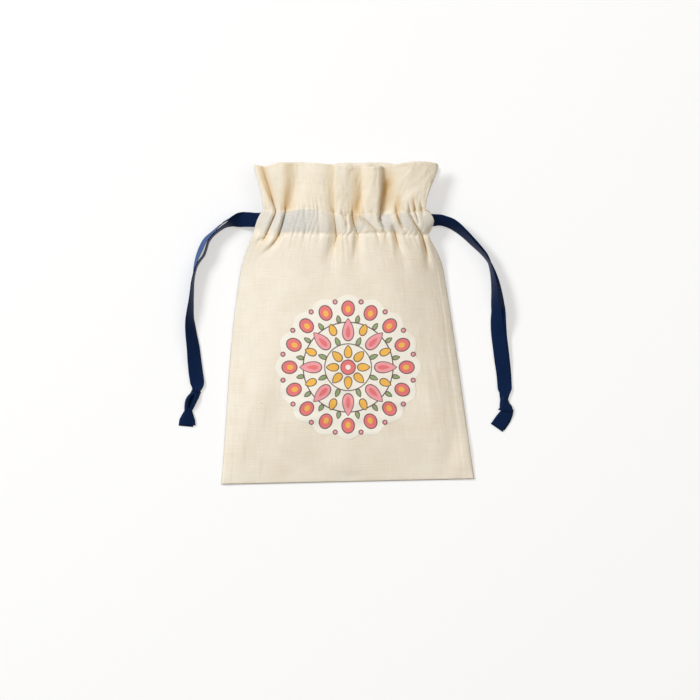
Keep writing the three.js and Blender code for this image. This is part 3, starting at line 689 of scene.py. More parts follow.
# the front's gathers: softness to the left and right, then x, y and depth from the frill down
gathers = {
    "leftTuck": (1.3, 2.4, [
        (-62, 115, 2.4), (-59.5, 104, 4), (-51, 80, 3.6), (-59, 62, 3.2), (-67, 54, 1.5),
        (-71, 49, 0)]),
    "leftValley": (5.4, 6.0, [
        (-34.6, 115, 3.4), (-38, 98, 4), (-42, 84, 3.4), (-43.4, 80, 1.8), (-44, 76, 0)]),
    "leftRoll": (1.3, 3.4, [
        (-43.4, 94, 0), (-44.2, 86, 2.4), (-44.5, 80, 3.4), (-50, 61, 3.2), (-60, 51, 2),
        (-67, 42, 0)]),
    "panelCreaseA": (1.4, 1.4, [
        (-31, 84, 0), (-30.5, 79, 0.9), (-30, 70, 0.5), (-30, 62, 0.9), (-31, 54, 0)]),
    "panelCreaseB": (1.4, 1.4, [
        (-21, 90, 0), (-21, 79, 0.8), (-20.5, 70, 0.6), (-20, 62, 0.7), (-19, 56, 0)]),
    "panelEdge": (3.4, 2.0, [
        (-10.8, 115, 2), (-10.6, 98, 2.2), (-9.8, 80, 3.4), (-8.2, 62, 4.8), (-10.8, 50, 2.6),
        (-12, 38, 1.3), (-12.5, 22, 0)]),
    "smallTuck": (1.3, 1.5, [(-1.5, 85, 0), (-1, 79.5, 2.6), (-0.4, 72, 2.2), (0.2, 66, 0)]),
    "frillValley": (6.6, 2.4, [
        (10.6, 115, 3.8), (9.8, 98, 4), (7, 86, 3.6), (5, 80, 2.2), (3.8, 76, 0)]),
    "middleValley": (2.6, 3.0, [
        (3.2, 90, 0), (3.4, 84, 2.6), (3.6, 78, 4), (4.6, 70, 4.2), (7.4, 62, 3.6), (6.2, 50, 2),
        (5.4, 36, 0)]),
    "casingSlant": (1.3, 1.5, [
        (8, 79, 0), (10.4, 75.6, 2), (19.6, 65.8, 2.4), (21.8, 62, 1.2), (23, 55, 0)]),
    "deepFold": (0.7, 11.0, [
        (24.4, 115, 5.2), (24.4, 98, 6.4), (23.2, 84, 6), (22.6, 78, 3), (24, 72, 0)]),
    "deepFoldEnd": (0.8, 4.0, [
        (23.4, 90, 0), (22.8, 80, 4.5), (22.8, 76, 4.5), (25.4, 69, 2.2), (27, 62, 1), (28, 52, 0)]),
    "rightRidge": (1.5, 2.2, [
        (34, 89, 0), (34.6, 83, 2.5), (36.8, 76, 3), (39.6, 69, 2.2), (42.6, 65, 0.8), (44, 61, 0)]),
    "rightHollow": (2.0, 2.6, [
        (32, 73, 0), (32.7, 67, 2.4), (34.3, 61.2, 3.6), (36.5, 55.2, 2.6), (38.6, 48.6, 1.6),
        (42, 32, 0)]),
    "rightCrease": (1.2, 1.8, [
        (44, 91, 0), (44, 80, 2.6), (47.5, 72, 3), (52.5, 63.5, 3.8), (55.4, 52, 3), (57.5, 43, 1.6),
        (59.6, 31, 0)]),
    "rightPucker": (1.0, 1.1, [
        (46.8, 92, 0), (47.8, 84, 2.4), (48.2, 79, 2.8), (50.4, 73, 1.4), (51.8, 68, 0)]),
    "lobePucker": (0.9, 0.9, [(51.8, 88, 0), (52.8, 83, 1.8), (53.2, 80, 1.8), (54, 76, 0)]),
}
# sharp creases pressed into the settled front: half width, then x, y and depth
creases = {
    "leftTuck": (0.8, [
        (-61, 112, 0.3), (-56.1, 96.4, 0.9), (-51.3, 80, 2.2), (-55.4, 70.7, 2), (-59, 62, 2),
        (-62, 56, 0)]),
    "leftRoll": (0.8, [
        (-44.5, 84, 0), (-44.6, 79.3, 1.8), (-47, 70.7, 2), (-50.4, 61.4, 2), (-55.5, 54.5, 0)]),
    "panelEdge": (0.8, [
        (-11, 83, 0), (-9.9, 78.6, 1.4), (-8.9, 70.7, 1.6), (-7.9, 62.1, 1.6), (-10, 52, 0)]),
    "tuckLeft": (0.7, [(-4.6, 82, 0), (-4, 78, 1.4), (-2.4, 74, 1), (-1.5, 72, 0)]),
    "tuckRight": (0.7, [
        (2.6, 82, 0), (2.8, 77, 1.6), (4.2, 71, 1.6), (7.2, 63.6, 1.5), (8.4, 58.5, 0)]),
    "slant": (0.7, [(8, 78, 0), (9.4, 76, 1.3), (14.6, 71.4, 1.5), (19.6, 66.4, 1.5), (21.6, 61, 0)]),
    "deepFold": (0.8, [
        (23.8, 115, 0.5), (23.8, 98, 1.1), (22.6, 80, 1.8), (22.2, 74, 1.5), (22.8, 70, 0)]),
    "rightRidge": (0.8, [
        (34.2, 88, 0), (34.4, 79, 1.6), (37.4, 70.5, 1.5), (40.6, 66.6, 0.9), (43, 64.4, 0)]),
    "rightHollow": (1.0, [
        (32.3, 69, 0), (33.4, 64.6, 1.1), (34.6, 60, 1.4), (36.4, 55, 0.8), (38, 50.6, 0)]),
    "rightCrease": (0.8, [
        (43.4, 84, 0), (43.9, 79.3, 1.5), (47.5, 72.1, 1.7), (52.5, 64.3, 1.8), (54.6, 58, 2),
        (56, 52, 1.7), (57.2, 44, 0)]),
    "rightPucker": (0.6, [(47.2, 89, 0), (48.2, 79.3, 1.6), (50.4, 72.9, 0.8), (51.2, 70, 0)]),
    "lobePucker": (0.6, [(52, 87, 0), (52.8, 80.4, 1.2), (53.4, 77, 0)]),
}
# where the front casing lies on its ribbon, which shows through: x and share, and x and lowest part; the
# shares above 1, just right of the left roll, also paint the shade that falls there
ribbonShows = {
    "lowerFade": 0.12, "upperFade": 0.08, "back": 0.5, "backFade": 0.1,
    "touching": [
        (-68, 0.5), (-54, 0.6), (-52, 0.4), (-51, 0.6), (-48, 0.6), (-46.6, 1.5), (-44, 1.4),
        (-42, 1), (-26, 0.85), (-19, 0.5), (-12, 0.4), (-9, 0.4), (-6.5, 0.5), (-4.5, 0.3), (0, 0.3),
        (2.5, 0.45), (5, 0.8), (12, 0.55), (18, 0.2), (21, 0.3), (23.5, 1), (30, 0.9), (32.5, 0.3),
        (35, 0.3), (37.4, 1), (41, 0.7), (45.5, 0.3), (50, 0.3), (53, 0.55), (64, 0.55),
    ],
    "lowest": [
        (-68, 0.1), (-54, 0.14), (-44, 0.03), (-11, 0.02), (-4, 0.15), (4, 0.06), (15, 0.2),
        (23, 0.3), (27, 0.16), (31, 0.06), (34, 0.02), (36, 0.4), (44, 0.12), (52, 0.1), (60, 0.12),
    ],
}
# painted shade: how golden a fold's depth colours the cloth, where that isn't usual
paintedFoldShades = {
    "leftValley": 0.15, "frillValley": 0.35, "deepFold": 0.55,
    "leftTuck": 0.6, "panelEdge": 0.6, "rightCrease": 0.8,
}
# painted bounce light: where light caught between folds is painted golden on the cloth: softness to each
# side, then x, y and share
paintedBounceLight = {
    "leftTuck": (3.2, 3.4, [
        (-61.4, 115, 0.56), (-61, 110.7, 0.58), (-57.7, 100, 0.62), (-54.3, 89, 0.5), (-52.6, 82, 0)]),
    "leftValley": (2.6, 6.2, [
        (-43.4, 115, 0.36), (-43, 100, 0.52), (-44.4, 89, 0.72), (-44.8, 82, 0.78), (-45, 77, 0)]),
    "panelEdge": (3.4, 2.8, [
        (-11.4, 115, 0.27), (-11.8, 100, 0.38), (-11.2, 89, 0.46), (-10.8, 81, 0.42), (-10.4, 77, 0)]),
    "frillValley": (4.8, 4.8, [
        (4.4, 115, 0.16), (6.8, 100, 0.46), (7.2, 89, 0.66), (6.4, 82, 0.8), (5.2, 75, 0.62),
        (5.4, 67, 0)]),
    "deepFold": (3.0, 6.6, [
        (29, 112, 0), (27.8, 100, 0.6), (27, 89, 0.48), (26, 82, 0.34), (25, 77, 0)]),
    "rightRidge": (2.8, 3.0, [
        (36.4, 97, 0), (35.8, 89, 0.58), (35.4, 82, 0.68), (35.6, 75, 0.42), (37, 69, 0)]),
    "rightPucker": (1.8, 1.8, [(47.2, 94, 0), (47.4, 86, 0.42), (47.6, 80.6, 0.55), (48, 78, 0)]),
    "lobePucker": (2.6, 2.0, [(52.6, 86, 0), (52.9, 80.6, 0.55), (53, 78, 0)]),
    "leftTuckEnd": (3.2, 2.6, [(-56, 66, 0), (-58.4, 60, 0.36), (-63, 54, 0.25), (-68, 49, 0)]),
    "leftRollEnd": (2.4, 3.4, [(-47.4, 68, 0), (-50.4, 60.6, 0.42), (-56, 54.5, 0.25), (-61, 50, 0)]),
    "panelEdgeEnd": (2.0, 4.2, [(-8.6, 68, 0), (-7.6, 61, 0.3), (-9, 54, 0.26), (-11, 44, 0)]),
    "middleValley": (2.6, 3.0, [(6.8, 66, 0), (7.2, 60.6, 0.28), (6.8, 54, 0.2), (6, 46, 0)]),
    "rightHollow": (2.2, 2.8, [
        (32.4, 70, 0), (33.2, 64, 0.34), (33.6, 59, 0.32), (36, 53, 0.16), (38, 46, 0)]),
    "rightCrease": (1.8, 1.8, [
        (52.8, 64, 0), (53.8, 60, 0.4), (55, 54, 0.4), (56.4, 47, 0.22), (57.4, 42, 0)]),
}
# how folds widen away from the casing and fall off to their sides, and how much painted golden shade they
# usually get
foldShape = {"spread": 0.012, "steep": 1.9, "creaseSteep": 1.4, "usualPaintedShade": 0.4, "paintedShadeNarrow": 1.5}
# how much painted shade folds, creases and the frill put on the cloth; the frill is darkened all over
shading = {
    "folds": 0.8, "foldsFrom": 0.6, "foldsReach": 6.0, "creases": 0.75, "creasesReach": 1.8,
    "frill": 0.07, "most": 0.9,
}


def marksAt(marks, y):  # a fold's x and depth at each y
    at, up, deep = np.array(marks)[::-1].T
    return np.interp(y, up, at), np.interp(y, up, deep)


# the flagged call narrows the depth and scales it into painted golden fold shade
def foldedIn(x, y, forPaintedShade=False):  # how deep the gathers fold the front in, in millimetres
    depth = np.zeros_like(x)
    for name, (softLeft, softRight, marks) in gathers.items():
        middle, here = marksAt(marks, y)
        wider = 1 + foldShape["spread"] * abs(y - casingMiddleY)
        away = (x - middle) / (np.where(x < middle, softLeft, softRight) * wider)
        if forPaintedShade:
            away = away * foldShape["paintedShadeNarrow"]
            here = here * paintedFoldShades.get(name, foldShape["usualPaintedShade"])
        depth = np.maximum(depth, here * np.exp(-np.abs(away) ** foldShape["steep"]))
    return depth


def creasedIn(x, y):
    depth = np.zeros_like(x)
    for halfWidth, marks in creases.values():
        middle, here = marksAt(marks, y)
        away = np.abs(x - middle) / halfWidth
        depth = np.maximum(depth, here * np.exp(-(away ** foldShape["creaseSteep"])))
    return depth


# the share of painted golden bounce light at each point
def paintedBounceLightIn(x, y):
    share = np.zeros_like(x)
    for softLeft, softRight, marks in paintedBounceLight.values():
        middle, here = marksAt(marks, y)
        away = (x - middle) / np.where(x < middle, softLeft, softRight)
        share = np.maximum(share, here * np.exp(-(away**2)))
    return share


# how far a row is pulled up or down, by the nearest of the stitched rows and the top
def rowStray(x, y, panel):
    up = np.clip((y - casingTopY) / pouch["frill"], 0, 1)
    if panel:
        return backTopStray(x) * up
    inCasing = casingShare(y)
    upper = topStray(x) * up + upperStray(x) * inCasing * (1 - up)
    return upper + lowerStray(x) * (1 - inCasing) * gatherShare(y)


def casingBulge(y):
    return math.sin(math.pi * casingShare(y) ** sheet["flareLow"]) ** sheet["flareFull"]


def leftFlare(y):
    return sheet["leftFlare"] * casingBulge(y)


def rightFlare(y):  # out at the casing's end, in at the slit below it
    pinched = math.exp(-(((y - slitY) / sheet["pinchReach"]) ** 2))
    return sheet["rightFlare"] * casingBulge(y) - sheet["rightPinch"] * pinched


def frontHeight(x, y):
    middle = centreAt(y)
    narrower = 1 - 2 * rightFlare(y) / girthAt(y)
    dome = crown(np.where(x > middle, middle + (x - middle) * narrower, x), y)
    base = lerp(sideHeight(y) + sideThickness(y), middleHeight(y), dome)
    lifted = base + sheet["ridgeLift"] * gatherShare(y) * dome
    puffed = sheet["puff"] * math.sin(math.pi * casingShare(y))
    height = lifted + puffed - lerp(sheet["sideFolds"], 1, dome) * foldedIn(x, y)
    return np.maximum(sideHeight(y) + pouch["edgeHeight"], height)


def backHeight(x, y):
    share = (x - leftAt(y)) / widthAt(y)
    wave = 0.5 - 0.5 * np.cos(2 * np.pi * pouch["backFolds"] * share)
    dome = crown(x, y)
    puckered = sheet["backPucker"] * gatherShare(y) * wave * dome
    return sideHeight(y) * (1 - dome) + puckered + sheet["backRest"]


def gatheredRow(y, height):  # the row's columns, evenly spaced along the folded cloth
    x = np.linspace(leftAt(y) - leftFlare(y), rightAt(y) + rightFlare(y), sheet["samples"])
    z = height(x, y)
    gone = np.concatenate([[0], np.cumsum(np.hypot(np.diff(x), np.diff(z)))])
    even = np.linspace(0, gone[-1], sheet["columns"] + 1)
    return np.interp(even, gone, x), np.interp(even, gone, z), gone[-1]


crowding = (1 - np.linspace(0, 1, sheet["bodyRows"] + 1)) ** sheet["rowCrowding"]
flatRows = np.concatenate([
    bottomY + np.array(sheet["foldRows"]),
    lerp(bottomY + sheet["bodyStart"], casingBottomY, 1 - crowding),
    np.linspace(casingBottomY, casingTopY, sheet["casingRows"] + 1)[1:],
    np.linspace(casingTopY, topY, sheet["frillRows"] + 1)[1:],
])
lastRow = len(flatRows) - 1
lowerStitches = lastRow - sheet["casingRows"] - sheet["frillRows"]
upperStitches = lowerStitches + sheet["casingRows"]


def sewnSheet():  # both panels as flat grids, sewn along the bottom and up the sides to the slits
    bm = bmesh.new()
    keys = [bm.verts.layers.int.new(name) for name in ("column", "row", "panel")]
    for panel in (0, 1):
        made = bmesh.ops.create_grid(bm, x_segments=sheet["columns"], y_segments=lastRow, size=1)["verts"]
        for vert in made:
            vert[keys[0]] = round((vert.co.x + 1) / 2 * sheet["columns"])
            vert[keys[1]] = round((vert.co.y + 1) / 2 * lastRow)
            vert[keys[2]] = panel
        if panel:
            bmesh.ops.reverse_faces(bm, faces=list({face for vert in made for face in vert.link_faces}))
    uvLayer = bm.loops.layers.uv.new("flatCut")
    for face in bm.faces:
        for loop in face.loops:
            column, row, panel = (loop.vert[key] for key in keys)
            across = pouchWidth * (column / sheet["columns"] - 0.5)
            loop[uvLayer].uv = ((across + sheet["panelsApart"] * panel) * mm, flatRows[row] * mm)
    grid = {tuple(vert[key] for key in keys): vert for vert in bm.verts}
    sewn = {}
    for row, y in enumerate(flatRows):
        if y <= slitY:
            for column in (0, sheet["columns"]):
                sewn[grid[column, row, 1]] = grid[column, row, 0]
    for column in range(sheet["columns"] + 1):
        sewn[grid[column, 0, 1]] = grid[column, 0, 0]
    bmesh.ops.weld_verts(bm, targetmap=sewn)
    return bm, keys


bm, keys = sewnSheet()
bm.verts.ensure_lookup_table()
column, row, panel = (np.array([vert[key] for vert in bm.verts]) for key in keys)
start = np.zeros((len(column), 3))
rest = np.zeros_like(start)
for r, y in enumerate(flatRows):
    for p, height in enumerate((frontHeight, backHeight)):
        xs, zs, arc = gatheredRow(y, height)
        here = (row == r) & (panel == p)
        c = column[here]
        share = (xs[c] - xs[0]) / (xs[-1] - xs[0])
        start[here, 0] = xs[c]
        skew = pouch["bottomSkew"] * share * np.clip(y / bottomY, 0, 1)
        start[here, 1] = y + skew + rowStray(xs[c], y, p)
        start[here, 2] = zs[c]
        rest[here, 0] = lerp(arc, pouchWidth, sheet["slack"]) * (c / sheet["columns"] - 0.5)
        rest[here, 1] = y
        if r in (lowerStitches, upperStitches):
            print("stitched row", r, "panel", p, "is", round(arc), "mm along its folds")
clothPiece = addPiece("pouchCloth", bm, [cotton])


# lets the cloth take up its folds, and returns where its points come to lie
def settle(piece, start, rest, held):
    scale = sheet["simScale"] * mm
    mesh = piece.data.copy()
    mesh.vertices.foreach_set("co", (start * scale).ravel())
    trial = bpy.data.objects.new("settlingCloth", mesh)
    scene.collection.objects.link(trial)
    trial.shape_key_add(name="gathered")
    flat = trial.shape_key_add(name="flat")
    flat.data.foreach_set("co", (rest * scale).ravel())
    group = trial.vertex_groups.new(name="held")
    group.add(np.nonzero(held)[0].tolist(), 1, "REPLACE")
    modifier = trial.modifiers.new("settle", "CLOTH")
    modifier.collision_settings.use_collision = False
    modifier.settings.rest_shape_key = flat
    modifier.settings.vertex_group_mass = "held"
    modifier.settings.effector_weights.gravity = 0
    for name, value in settling.items():
        setattr(modifier.settings, name, value)
    for frameNumber in range(1, sheet["frames"] + 1):
        scene.frame_set(frameNumber)
    settled = trial.evaluated_get(bpy.context.evaluated_depsgraph_get()).to_mesh()
    points = np.empty(len(start) * 3)
    settled.vertices.foreach_get("co", points)
    bpy.data.objects.remove(trial)
    scene.frame_set(1)
    return points.reshape(-1, 3) / scale


held = (row == lowerStitches) | (row == upperStitches) | (row == 0)
held |= ((column == 0) | (column == sheet["columns"])) & (flatRows[row] <= slitY)
points = settle(clothPiece, start, rest, held)
print("cloth settled, moved by up to", round(float(np.abs(points - start).max()), 1), "mm")
onFront = panel == 0
outward = np.where(onFront, 1, -1)
flatX = pouchWidth * (column / sheet["columns"] - 0.5)
flatY = flatRows[row]
creased = creasedIn(points[:, 0], points[:, 1]) * onFront
# uneven puckers along the stitches
wander = 2.2 * np.sin(flatX / 6.3) + 1.1 * np.sin(flatX / 2.7)
ripple = np.sin(2 * np.pi * flatX / seams["ripplePitch"] + wander)
ripple *= 0.5 + 0.5 * np.sin(flatX / 9.7 + 1.3 * np.sin(flatX / 4.1))
for stitchY in (casingBottomY, casingTopY):
    away = np.abs(flatY - stitchY)
    points[:, 2] += outward * seams["ripple"] * ripple * np.exp(-away / seams["rippleReach"])
    points[:, 2] -= outward * seams["sink"] * np.exp(-((away / seams["sinkReach"]) ** 2))
points[:, 2] -= creased + outward * np.where(row == lastRow - seams["hemRows"], seams["hem"], 0)
acrossWaves = np.sin(flatX / 7.3 + 0.8 + 0.9 * np.sin(flatY / 17)) * np.sin(flatY / 21 + 0.5)
slantWaves = np.sin((0.8 * flatX + 0.45 * flatY) / 5.2 + 1.4 * np.sin(flatY / 30))
inBody = ease((pouchWidth / 2 - rumple["sideFlat"] - np.abs(flatX)) / rumple["sideReach"])
inBody *= ease((flatY - bottomY - rumple["bottomFlat"]) / rumple["bottomReach"])
inBody *= ease((casingBottomY - flatY) / rumple["topReach"])
points[:, 2] += onFront * inBody * rumple["height"] * (acrossWaves + rumple["slant"] * slantWaves)
beside = flatX - cornerFold["x"] - cornerFold["lean"] * (flatY - cornerFold["y"])
dent = cornerFold["dent"] * np.exp(-((beside / cornerFold["dentWidth"]) ** 2))
ridge = cornerFold["ridge"] * np.exp(-(((beside - cornerFold["apart"]) / cornerFold["ridgeWidth"]) ** 2))
nearCorner = np.exp(-(((flatY - cornerFold["y"]) / cornerFold["reach"]) ** 2))
points[:, 2] += onFront * (ridge - dent) * nearCorner
points[:, 2] = np.maximum(points[:, 2], np.where(onFront, sheet["frontLowest"], sheet["backLowest"]))
# the front casing stays above its ribbon
pastCasing = np.abs(flatY - casingMiddleY) - pouch["casing"] / 2
room = sheet["ribbonRoom"] * (1 - ease(pastCasing / sheet["roomFade"]))
aboveRibbon = np.maximum(points[:, 2], frontPlane(points[:, 0]) + room)
points[:, 2] = np.where(onFront & (pastCasing < sheet["roomReach"]), aboveRibbon, points[:, 2])
# the side seams' allowance lifts the front a little
inAllowance = ease((seams["allowance"] - pouchWidth / 2 + np.abs(flatX)) / seams["riseReach"])
besideSeam = onFront & (np.abs(flatX) < pouchWidth / 2) & (flatY < slitY)
points[:, 2] += np.where(besideSeam, seams["rise"] * inAllowance, 0)
# the outline was read from straight above, so what stands higher is drawn in a little
nearer = 1 - points[:, 2:3] / view["height"]
points[:, :2] = np.array(view["look"]) + (points[:, :2] - np.array(view["look"])) * nearer
clothPiece.data.vertices.foreach_set("co", (points * mm).ravel())


def paintPoints(name, values):
    layer = clothPiece.data.attributes.new(name, "FLOAT", "POINT")
    layer.data.foreach_set("value", values.astype(np.float32))


# painted shade and bounce light on the front: folds, creases and the whole frill coloured darker and
# golden
folded = foldedIn(start[:, 0], start[:, 1], forPaintedShade=True) * onFront
foldShade = shading["folds"] * ease((folded - shading["foldsFrom"]) / shading["foldsReach"])
foldShade += shading["creases"] * ease(creased / shading["creasesReach"])
foldShade += shading["frill"] * onFront * (row > upperStitches)
foldShade += paintedBounceLightIn(start[:, 0], start[:, 1]) * onFront
paintPoints("foldShade", np.clip(foldShade, 0, shading["most"]))
inCasing = (row > lowerStitches) & (row < upperStitches)
up = (flatY - casingBottomY) / pouch["casing"]
touching = np.interp(points[:, 0], *np.array(ribbonShows["touching"]).T)
lowest = np.interp(points[:, 0], *np.array(ribbonShows["lowest"]).T)
overFront = touching * ease((up - lowest) / ribbonShows["lowerFade"])
overBack = ribbonShows["back"] * ease(up / ribbonShows["backFade"])
overRibbon = np.where(onFront, overFront, overBack) * ease((1 - up) / ribbonShows["upperFade"])
paintPoints("ribbonBehind", np.where(inCasing, overRibbon, 0))
addThickness(clothPiece, "clothThickness", sheet["thickness"], 1)
clothPiece.data.update()
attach(clothPiece, "root")
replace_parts(clothPiece, "pouch_cloth")

# the casing's facing, folded in at the frill's edge, so that each flap is two layers
facing = {
    "columns": 85, "frillGap": 0.55, "casingGap": 1.2, "thickness": 0.4,
    "edgeDrop": 0.2, "stitchRows": 3,
}
clothAt = dict(zip(zip(column, row, panel), points))


def facingPoint(c, r, p):
    x, y, z = clothAt[c, r, p]
    inward = -1 if p == 0 else 1
    if r >= upperStitches:
        return Vector((x, y - facing["edgeDrop"], z + inward * facing["frillGap"]))
    plane = float(frontPlane(x) if p == 0 else backPlane(x)) + inward * facing["casingGap"]
    fromStitches = ease(min(r - lowerStitches, upperStitches - r) / facing["stitchRows"])
    return Vector((x, y, lerp(z + inward * facing["frillGap"], plane, fromStitches)))


bm = bmesh.new()
facingRows = lastRow - lowerStitches
for p in (0, 1):
    made = bmesh.ops.create_grid(bm, x_segments=facing["columns"], y_segments=facingRows, size=1)["verts"]
    for vert in made:
        c = round((vert.co.x + 1) / 2 * facing["columns"]) * sheet["columns"] // facing["columns"]
        r = lowerStitches + round((vert.co.y + 1) / 2 * facingRows)
        vert.co = facingPoint(c, r, p) * mm
    if p == 0:
        bmesh.ops.reverse_faces(bm, faces=list({face for vert in made for face in vert.link_faces}))
uvLayer = bm.loops.layers.uv.new("flatCut")
for face in bm.faces:
    for loop in face.loops:
        loop[uvLayer].uv = loop.vert.co.xy
facingPiece = addPiece("casingFacing", bm, [cotton])
addThickness(facingPiece, "clothThickness", facing["thickness"], 0)
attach(facingPiece, "root")

# stitches along both edges of each casing
threadMaterial, nodes, links, shader = newMaterial("cottonThread", seams["roughness"], seams["specular"])
shader.inputs["Base Color"].default_value = cloth["cream"]
bm = bmesh.new()
for r in (lowerStitches, upperStitches):
    for p in (0, 1):
        line = np.array([clothAt[c, r, p] for c in range(sheet["columns"] + 1)])
        gone = np.concatenate([[0], np.cumsum(np.linalg.norm(np.diff(line, axis=0), axis=1))])
        lift = Vector((0, 0, seams["threadLift"] if p == 0 else -seams["threadLift"]))
        pitch = seams["stitch"] + seams["gap"]
        for begin in np.arange(seams["first"], gone[-1] - seams["stitch"], pitch):
            reaches = (begin, begin + seams["stitch"])
            ends = [Vector([np.interp(at, gone, line[:, k]) for k in range(3)]) for at in reaches]
            run = ends[1] - ends[0]
            made = bmesh.ops.create_cone(
                bm, cap_ends=True, segments=seams["threadSides"], radius1=seams["thread"] * mm,
                radius2=seams["thread"] * mm, depth=run.length * mm)["verts"]
            bmesh.ops.rotate(bm, verts=made, matrix=run.to_track_quat("Z", "Y").to_matrix())
            bmesh.ops.translate(bm, verts=made, vec=((ends[0] + ends[1]) / 2 + lift) * mm)
stitchPiece = addPiece("casingStitches", bm, [threadMaterial])
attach(stitchPiece, "root")
print("facing and stitches made")

# the print: a scalloped film with a rosette of plain shapes
rosette = {
    "radius": 50.0, "scallop": 1.6, "scallops": 16, "drop": 95.0, "shift": 3.0,
    "rings": [(31.4, 32.2), (16.2, 16.9)], "outline": 0.75,
    "film": (0.925, 0.895, 0.82, 1), "coral": (0.80, 0.155, 0.165, 1), "pink": (0.88, 0.33, 0.38, 1),
    "yellow": (0.90, 0.48, 0.045, 1), "green": (0.255, 0.37, 0.145, 1),
    "brown": (0.105, 0.055, 0.05, 1), "white": (0.93, 0.90, 0.82, 1),
    "roughness": 0.55, "specular": 0.3, "grainCells": (900, 900), "palest": 0.93, "paler": 0.12,
    "grain": 0.2, "relief": 0.06, "layer": 0.035, "layerStep": 1.3, "lift": 0.06,
    "grid": 2.2, "margin": 4.0, "near": 0.45, "castHeight": 100.0,
    "petalSides": 28, "ringSides": 72, "rimSides": 192,
}
printX = float(centreAt(casingBottomY - rosette["drop"])) + rosette["shift"]
printY = casingBottomY - rosette["drop"]


# a rounded petal, drawn to a tip where point is above 0
def petalAt(bm, distance, turn, length, width, point=0.0):
    made = bmesh.ops.create_circle(bm, cap_ends=True, segments=rosette["petalSides"], radius=1)["verts"]
    for vert in made:
        angle = math.atan2(vert.co.x, vert.co.y)
        narrow = abs(math.sin(angle / 2)) ** point if point else 1
        across = math.sin(angle) * narrow * width / 2
        vert.co = Vector((across, distance + math.cos(angle) * length / 2, 0)) * mm
    bmesh.ops.rotate(bm, verts=made, matrix=Matrix.Rotation(turn, 3, "Z"))


def ringAt(bm, inner, outer):
    edges = []
    for radius in (inner, outer):
        made = bmesh.ops.create_circle(bm, segments=rosette["ringSides"], radius=radius * mm)["verts"]
        edges += dict.fromkeys(edge for vert in made for edge in vert.link_edges)
    bmesh.ops.bridge_loops(bm, edges=edges)


# colour, count, distance, length, width, tip and turn of each round of shapes, from the rim inward
rounds = [
    ("coral", 16, 41.5, 10, 8.2, 0, 0), ("yellow", 16, 41, 4.6, 3.6, 0, 0),
    ("green", 16, 34.6, 4.4, 2.6, 0.5, 0.5), ("pink", 8, 26.5, 15, 9, 0.7, 0),
    ("coral", 8, 25.2, 8.4, 4, 0.7, 0), ("yellow", 8, 28.5, 7.5, 5, 0.4, 0.5),
    ("green", 8, 19.6, 5.4, 2.8, 0.5, 0.5), ("yellow", 8, 11, 8, 5.6, 0.5, 0),
    ("coral", 1, 0, 9.6, 9.6, 0, 0), ("white", 8, 6.2, 1.5, 1.5, 0, 0.5),
    ("white", 1, 0, 3.6, 3.6, 0, 0), ("pink", 16, 47, 2.2, 2.2, 0, 0.5),
]
inkLevels = {"brown": 1, "pink": 2, "coral": 3, "yellow": 4, "green": 2, "white": 5}
surfaceTree = BVHTree.FromObject(clothPiece, bpy.context.evaluated_depsgraph_get())
gridReach = rosette["radius"] + rosette["margin"]
gridMarks = np.arange(-gridReach, gridReach + rosette["grid"], rosette["grid"])
diagonals = np.arange(2 * gridMarks[0], 2 * gridMarks[-1], rosette["grid"])


def clothUnder(x, y):  # the highest of a few spots close together
    steps = (-rosette["near"], 0, rosette["near"])
    spots = [(printX + x + a, printY + y + b, rosette["castHeight"]) for a in steps for b in steps]
    return max(surfaceTree.ray_cast(Vector(spot) * mm, Vector((0, 0, -1)))[0].z for spot in spots) / mm


ground = np.array([[clothUnder(x, y) for y in gridMarks] for x in gridMarks])


def groundAt(x, y):  # height on the grid's triangles, so that each ink lies level on what is under it
    across, up = (x - gridMarks[0]) / rosette["grid"], (y - gridMarks[0]) / rosette["grid"]
    i, j = int(across), int(up)
    across, up = across - i, up - j
    if across + up < 1:
        near = ground[i, j]
        return near + across * (ground[i + 1, j] - near) + up * (ground[i, j + 1] - near)
    far = ground[i + 1, j + 1]
    return far + (1 - across) * (ground[i, j + 1] - far) + (1 - up) * (ground[i + 1, j] - far)


def cutAlong(bm, spot, normal):
    bmesh.ops.bisect_plane(
        bm, geom=[*bm.verts, *bm.edges, *bm.faces], plane_co=Vector(spot) * mm,
        plane_no=Vector(normal).normalized(), dist=1e-7)


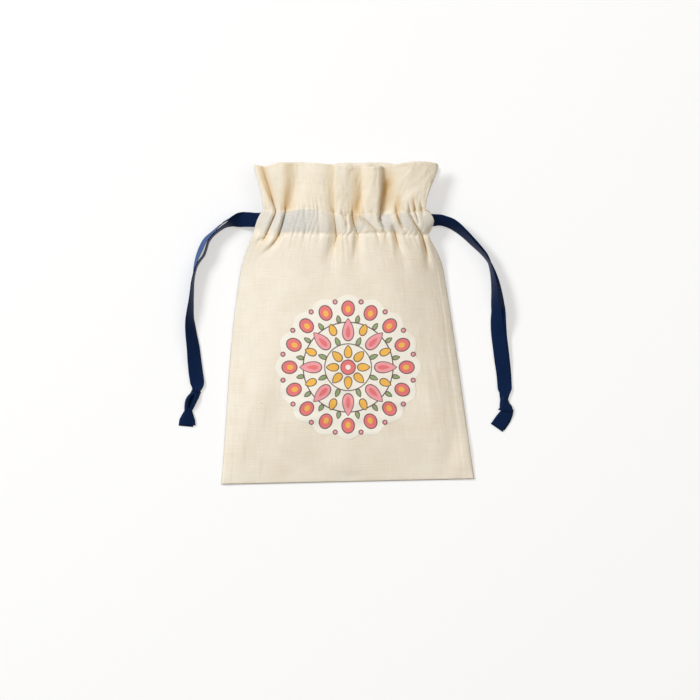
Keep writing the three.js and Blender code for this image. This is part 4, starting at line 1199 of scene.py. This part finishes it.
# cuts the shapes along the grid's triangles and lays them on the cloth
def layPrint(name, bm, colour, lift):
    for at in gridMarks:
        cutAlong(bm, (at, 0, 0), (1, 0, 0))
        cutAlong(bm, (0, at, 0), (0, 1, 0))
    for at in diagonals:
        cutAlong(bm, (at / 2, at / 2, 0), (1, 1, 0))
    bmesh.ops.triangulate(bm, faces=bm.faces)
    for vert in bm.verts:
        x, y = vert.co.x / mm, vert.co.y / mm
        vert.co = Vector((printX + x, printY + y, groundAt(x, y) + lift)) * mm
    bmesh.ops.recalc_face_normals(bm, faces=bm.faces)
    for face in bm.faces:
        if face.normal.z < 0:
            face.normal_flip()
    for edge in bm.edges:
        edge.smooth = not edge.is_boundary
    material, nodes, links, shader = newMaterial(name + "Ink", rosette["roughness"], rosette["specular"])
    place = addNode(nodes, "ShaderNodeTexCoord").outputs["Object"]
    grain = noiseAt(material, place, rosette["grainCells"])
    paler = tuple(lerp(c, rosette["palest"], rosette["paler"]) for c in colour[:3]) + (1,)
    links.new(mixColour(material, grain, colour, paler), shader.inputs["Base Color"])
    addBump(material, grain, rosette["grain"], rosette["relief"])
    piece = addPiece(name, bm, [material])
    addThickness(piece, "inkThickness", rosette["layer"], 1)
    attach(piece, "root")
    return piece


bm = bmesh.new()
rim = bmesh.ops.create_circle(bm, cap_ends=True, segments=rosette["rimSides"], radius=1)["verts"]
for vert in rim:
    angle = math.atan2(vert.co.y, vert.co.x)
    reach = rosette["radius"] + rosette["scallop"] * math.cos(rosette["scallops"] * angle)
    vert.co = vert.co.normalized() * reach * mm
film = layPrint("printFilm", bm, rosette["film"], rosette["lift"])
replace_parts(film, "print_transfer")
inks = {name: bmesh.new() for name in inkLevels}
for inner, outer in rosette["rings"]:
    ringAt(inks["brown"], inner, outer)
border = 2 * rosette["outline"]
for colour, count, distance, length, width, tip, turn in rounds:
    for k in range(count):
        angle = 2 * math.pi * (k + turn) / count
        petalAt(inks[colour], distance, angle, length, width, tip)
        if colour != "white":
            petalAt(inks["brown"], distance, angle, length + border, width + border, tip)
for name, bm in inks.items():
    lift = rosette["lift"] + inkLevels[name] * rosette["layer"] * rosette["layerStep"]
    layPrint(f"print{name.capitalize()}", bm, rosette[name], lift)
print("print laid on the front")

# a pale floor, in metres
floor = {
    "side": 4.0, "sink": 0.0003, "grey": (0.54, 0.55, 0.57, 1), "glow": 0.45,
    "roughness": 0.9, "specular": 0.1,
}
bm = bmesh.new()
bmesh.ops.create_grid(bm, x_segments=1, y_segments=1, size=floor["side"] / 2)
floorMesh = bpy.data.meshes.new("studioFloor")
bmesh.ops.translate(bm, verts=bm.verts, vec=(0, 0, -floor["sink"]))
bm.to_mesh(floorMesh)
bm.free()
studioFloor = bpy.data.objects.new("studioFloor", floorMesh)
scene.collection.objects.link(studioFloor)
floorMaterial, nodes, links, shader = newMaterial("paleFloor", floor["roughness"], floor["specular"])
shader.inputs["Base Color"].default_value = floor["grey"]
seen = seenDirectly(floorMaterial.node_tree)
shader.inputs["Emission Color"].default_value = (1, 1, 1, 1)
links.new(mathNode(floorMaterial, "MULTIPLY", seen, floor["glow"]), shader.inputs["Emission Strength"])
floorMesh.materials.append(floorMaterial)
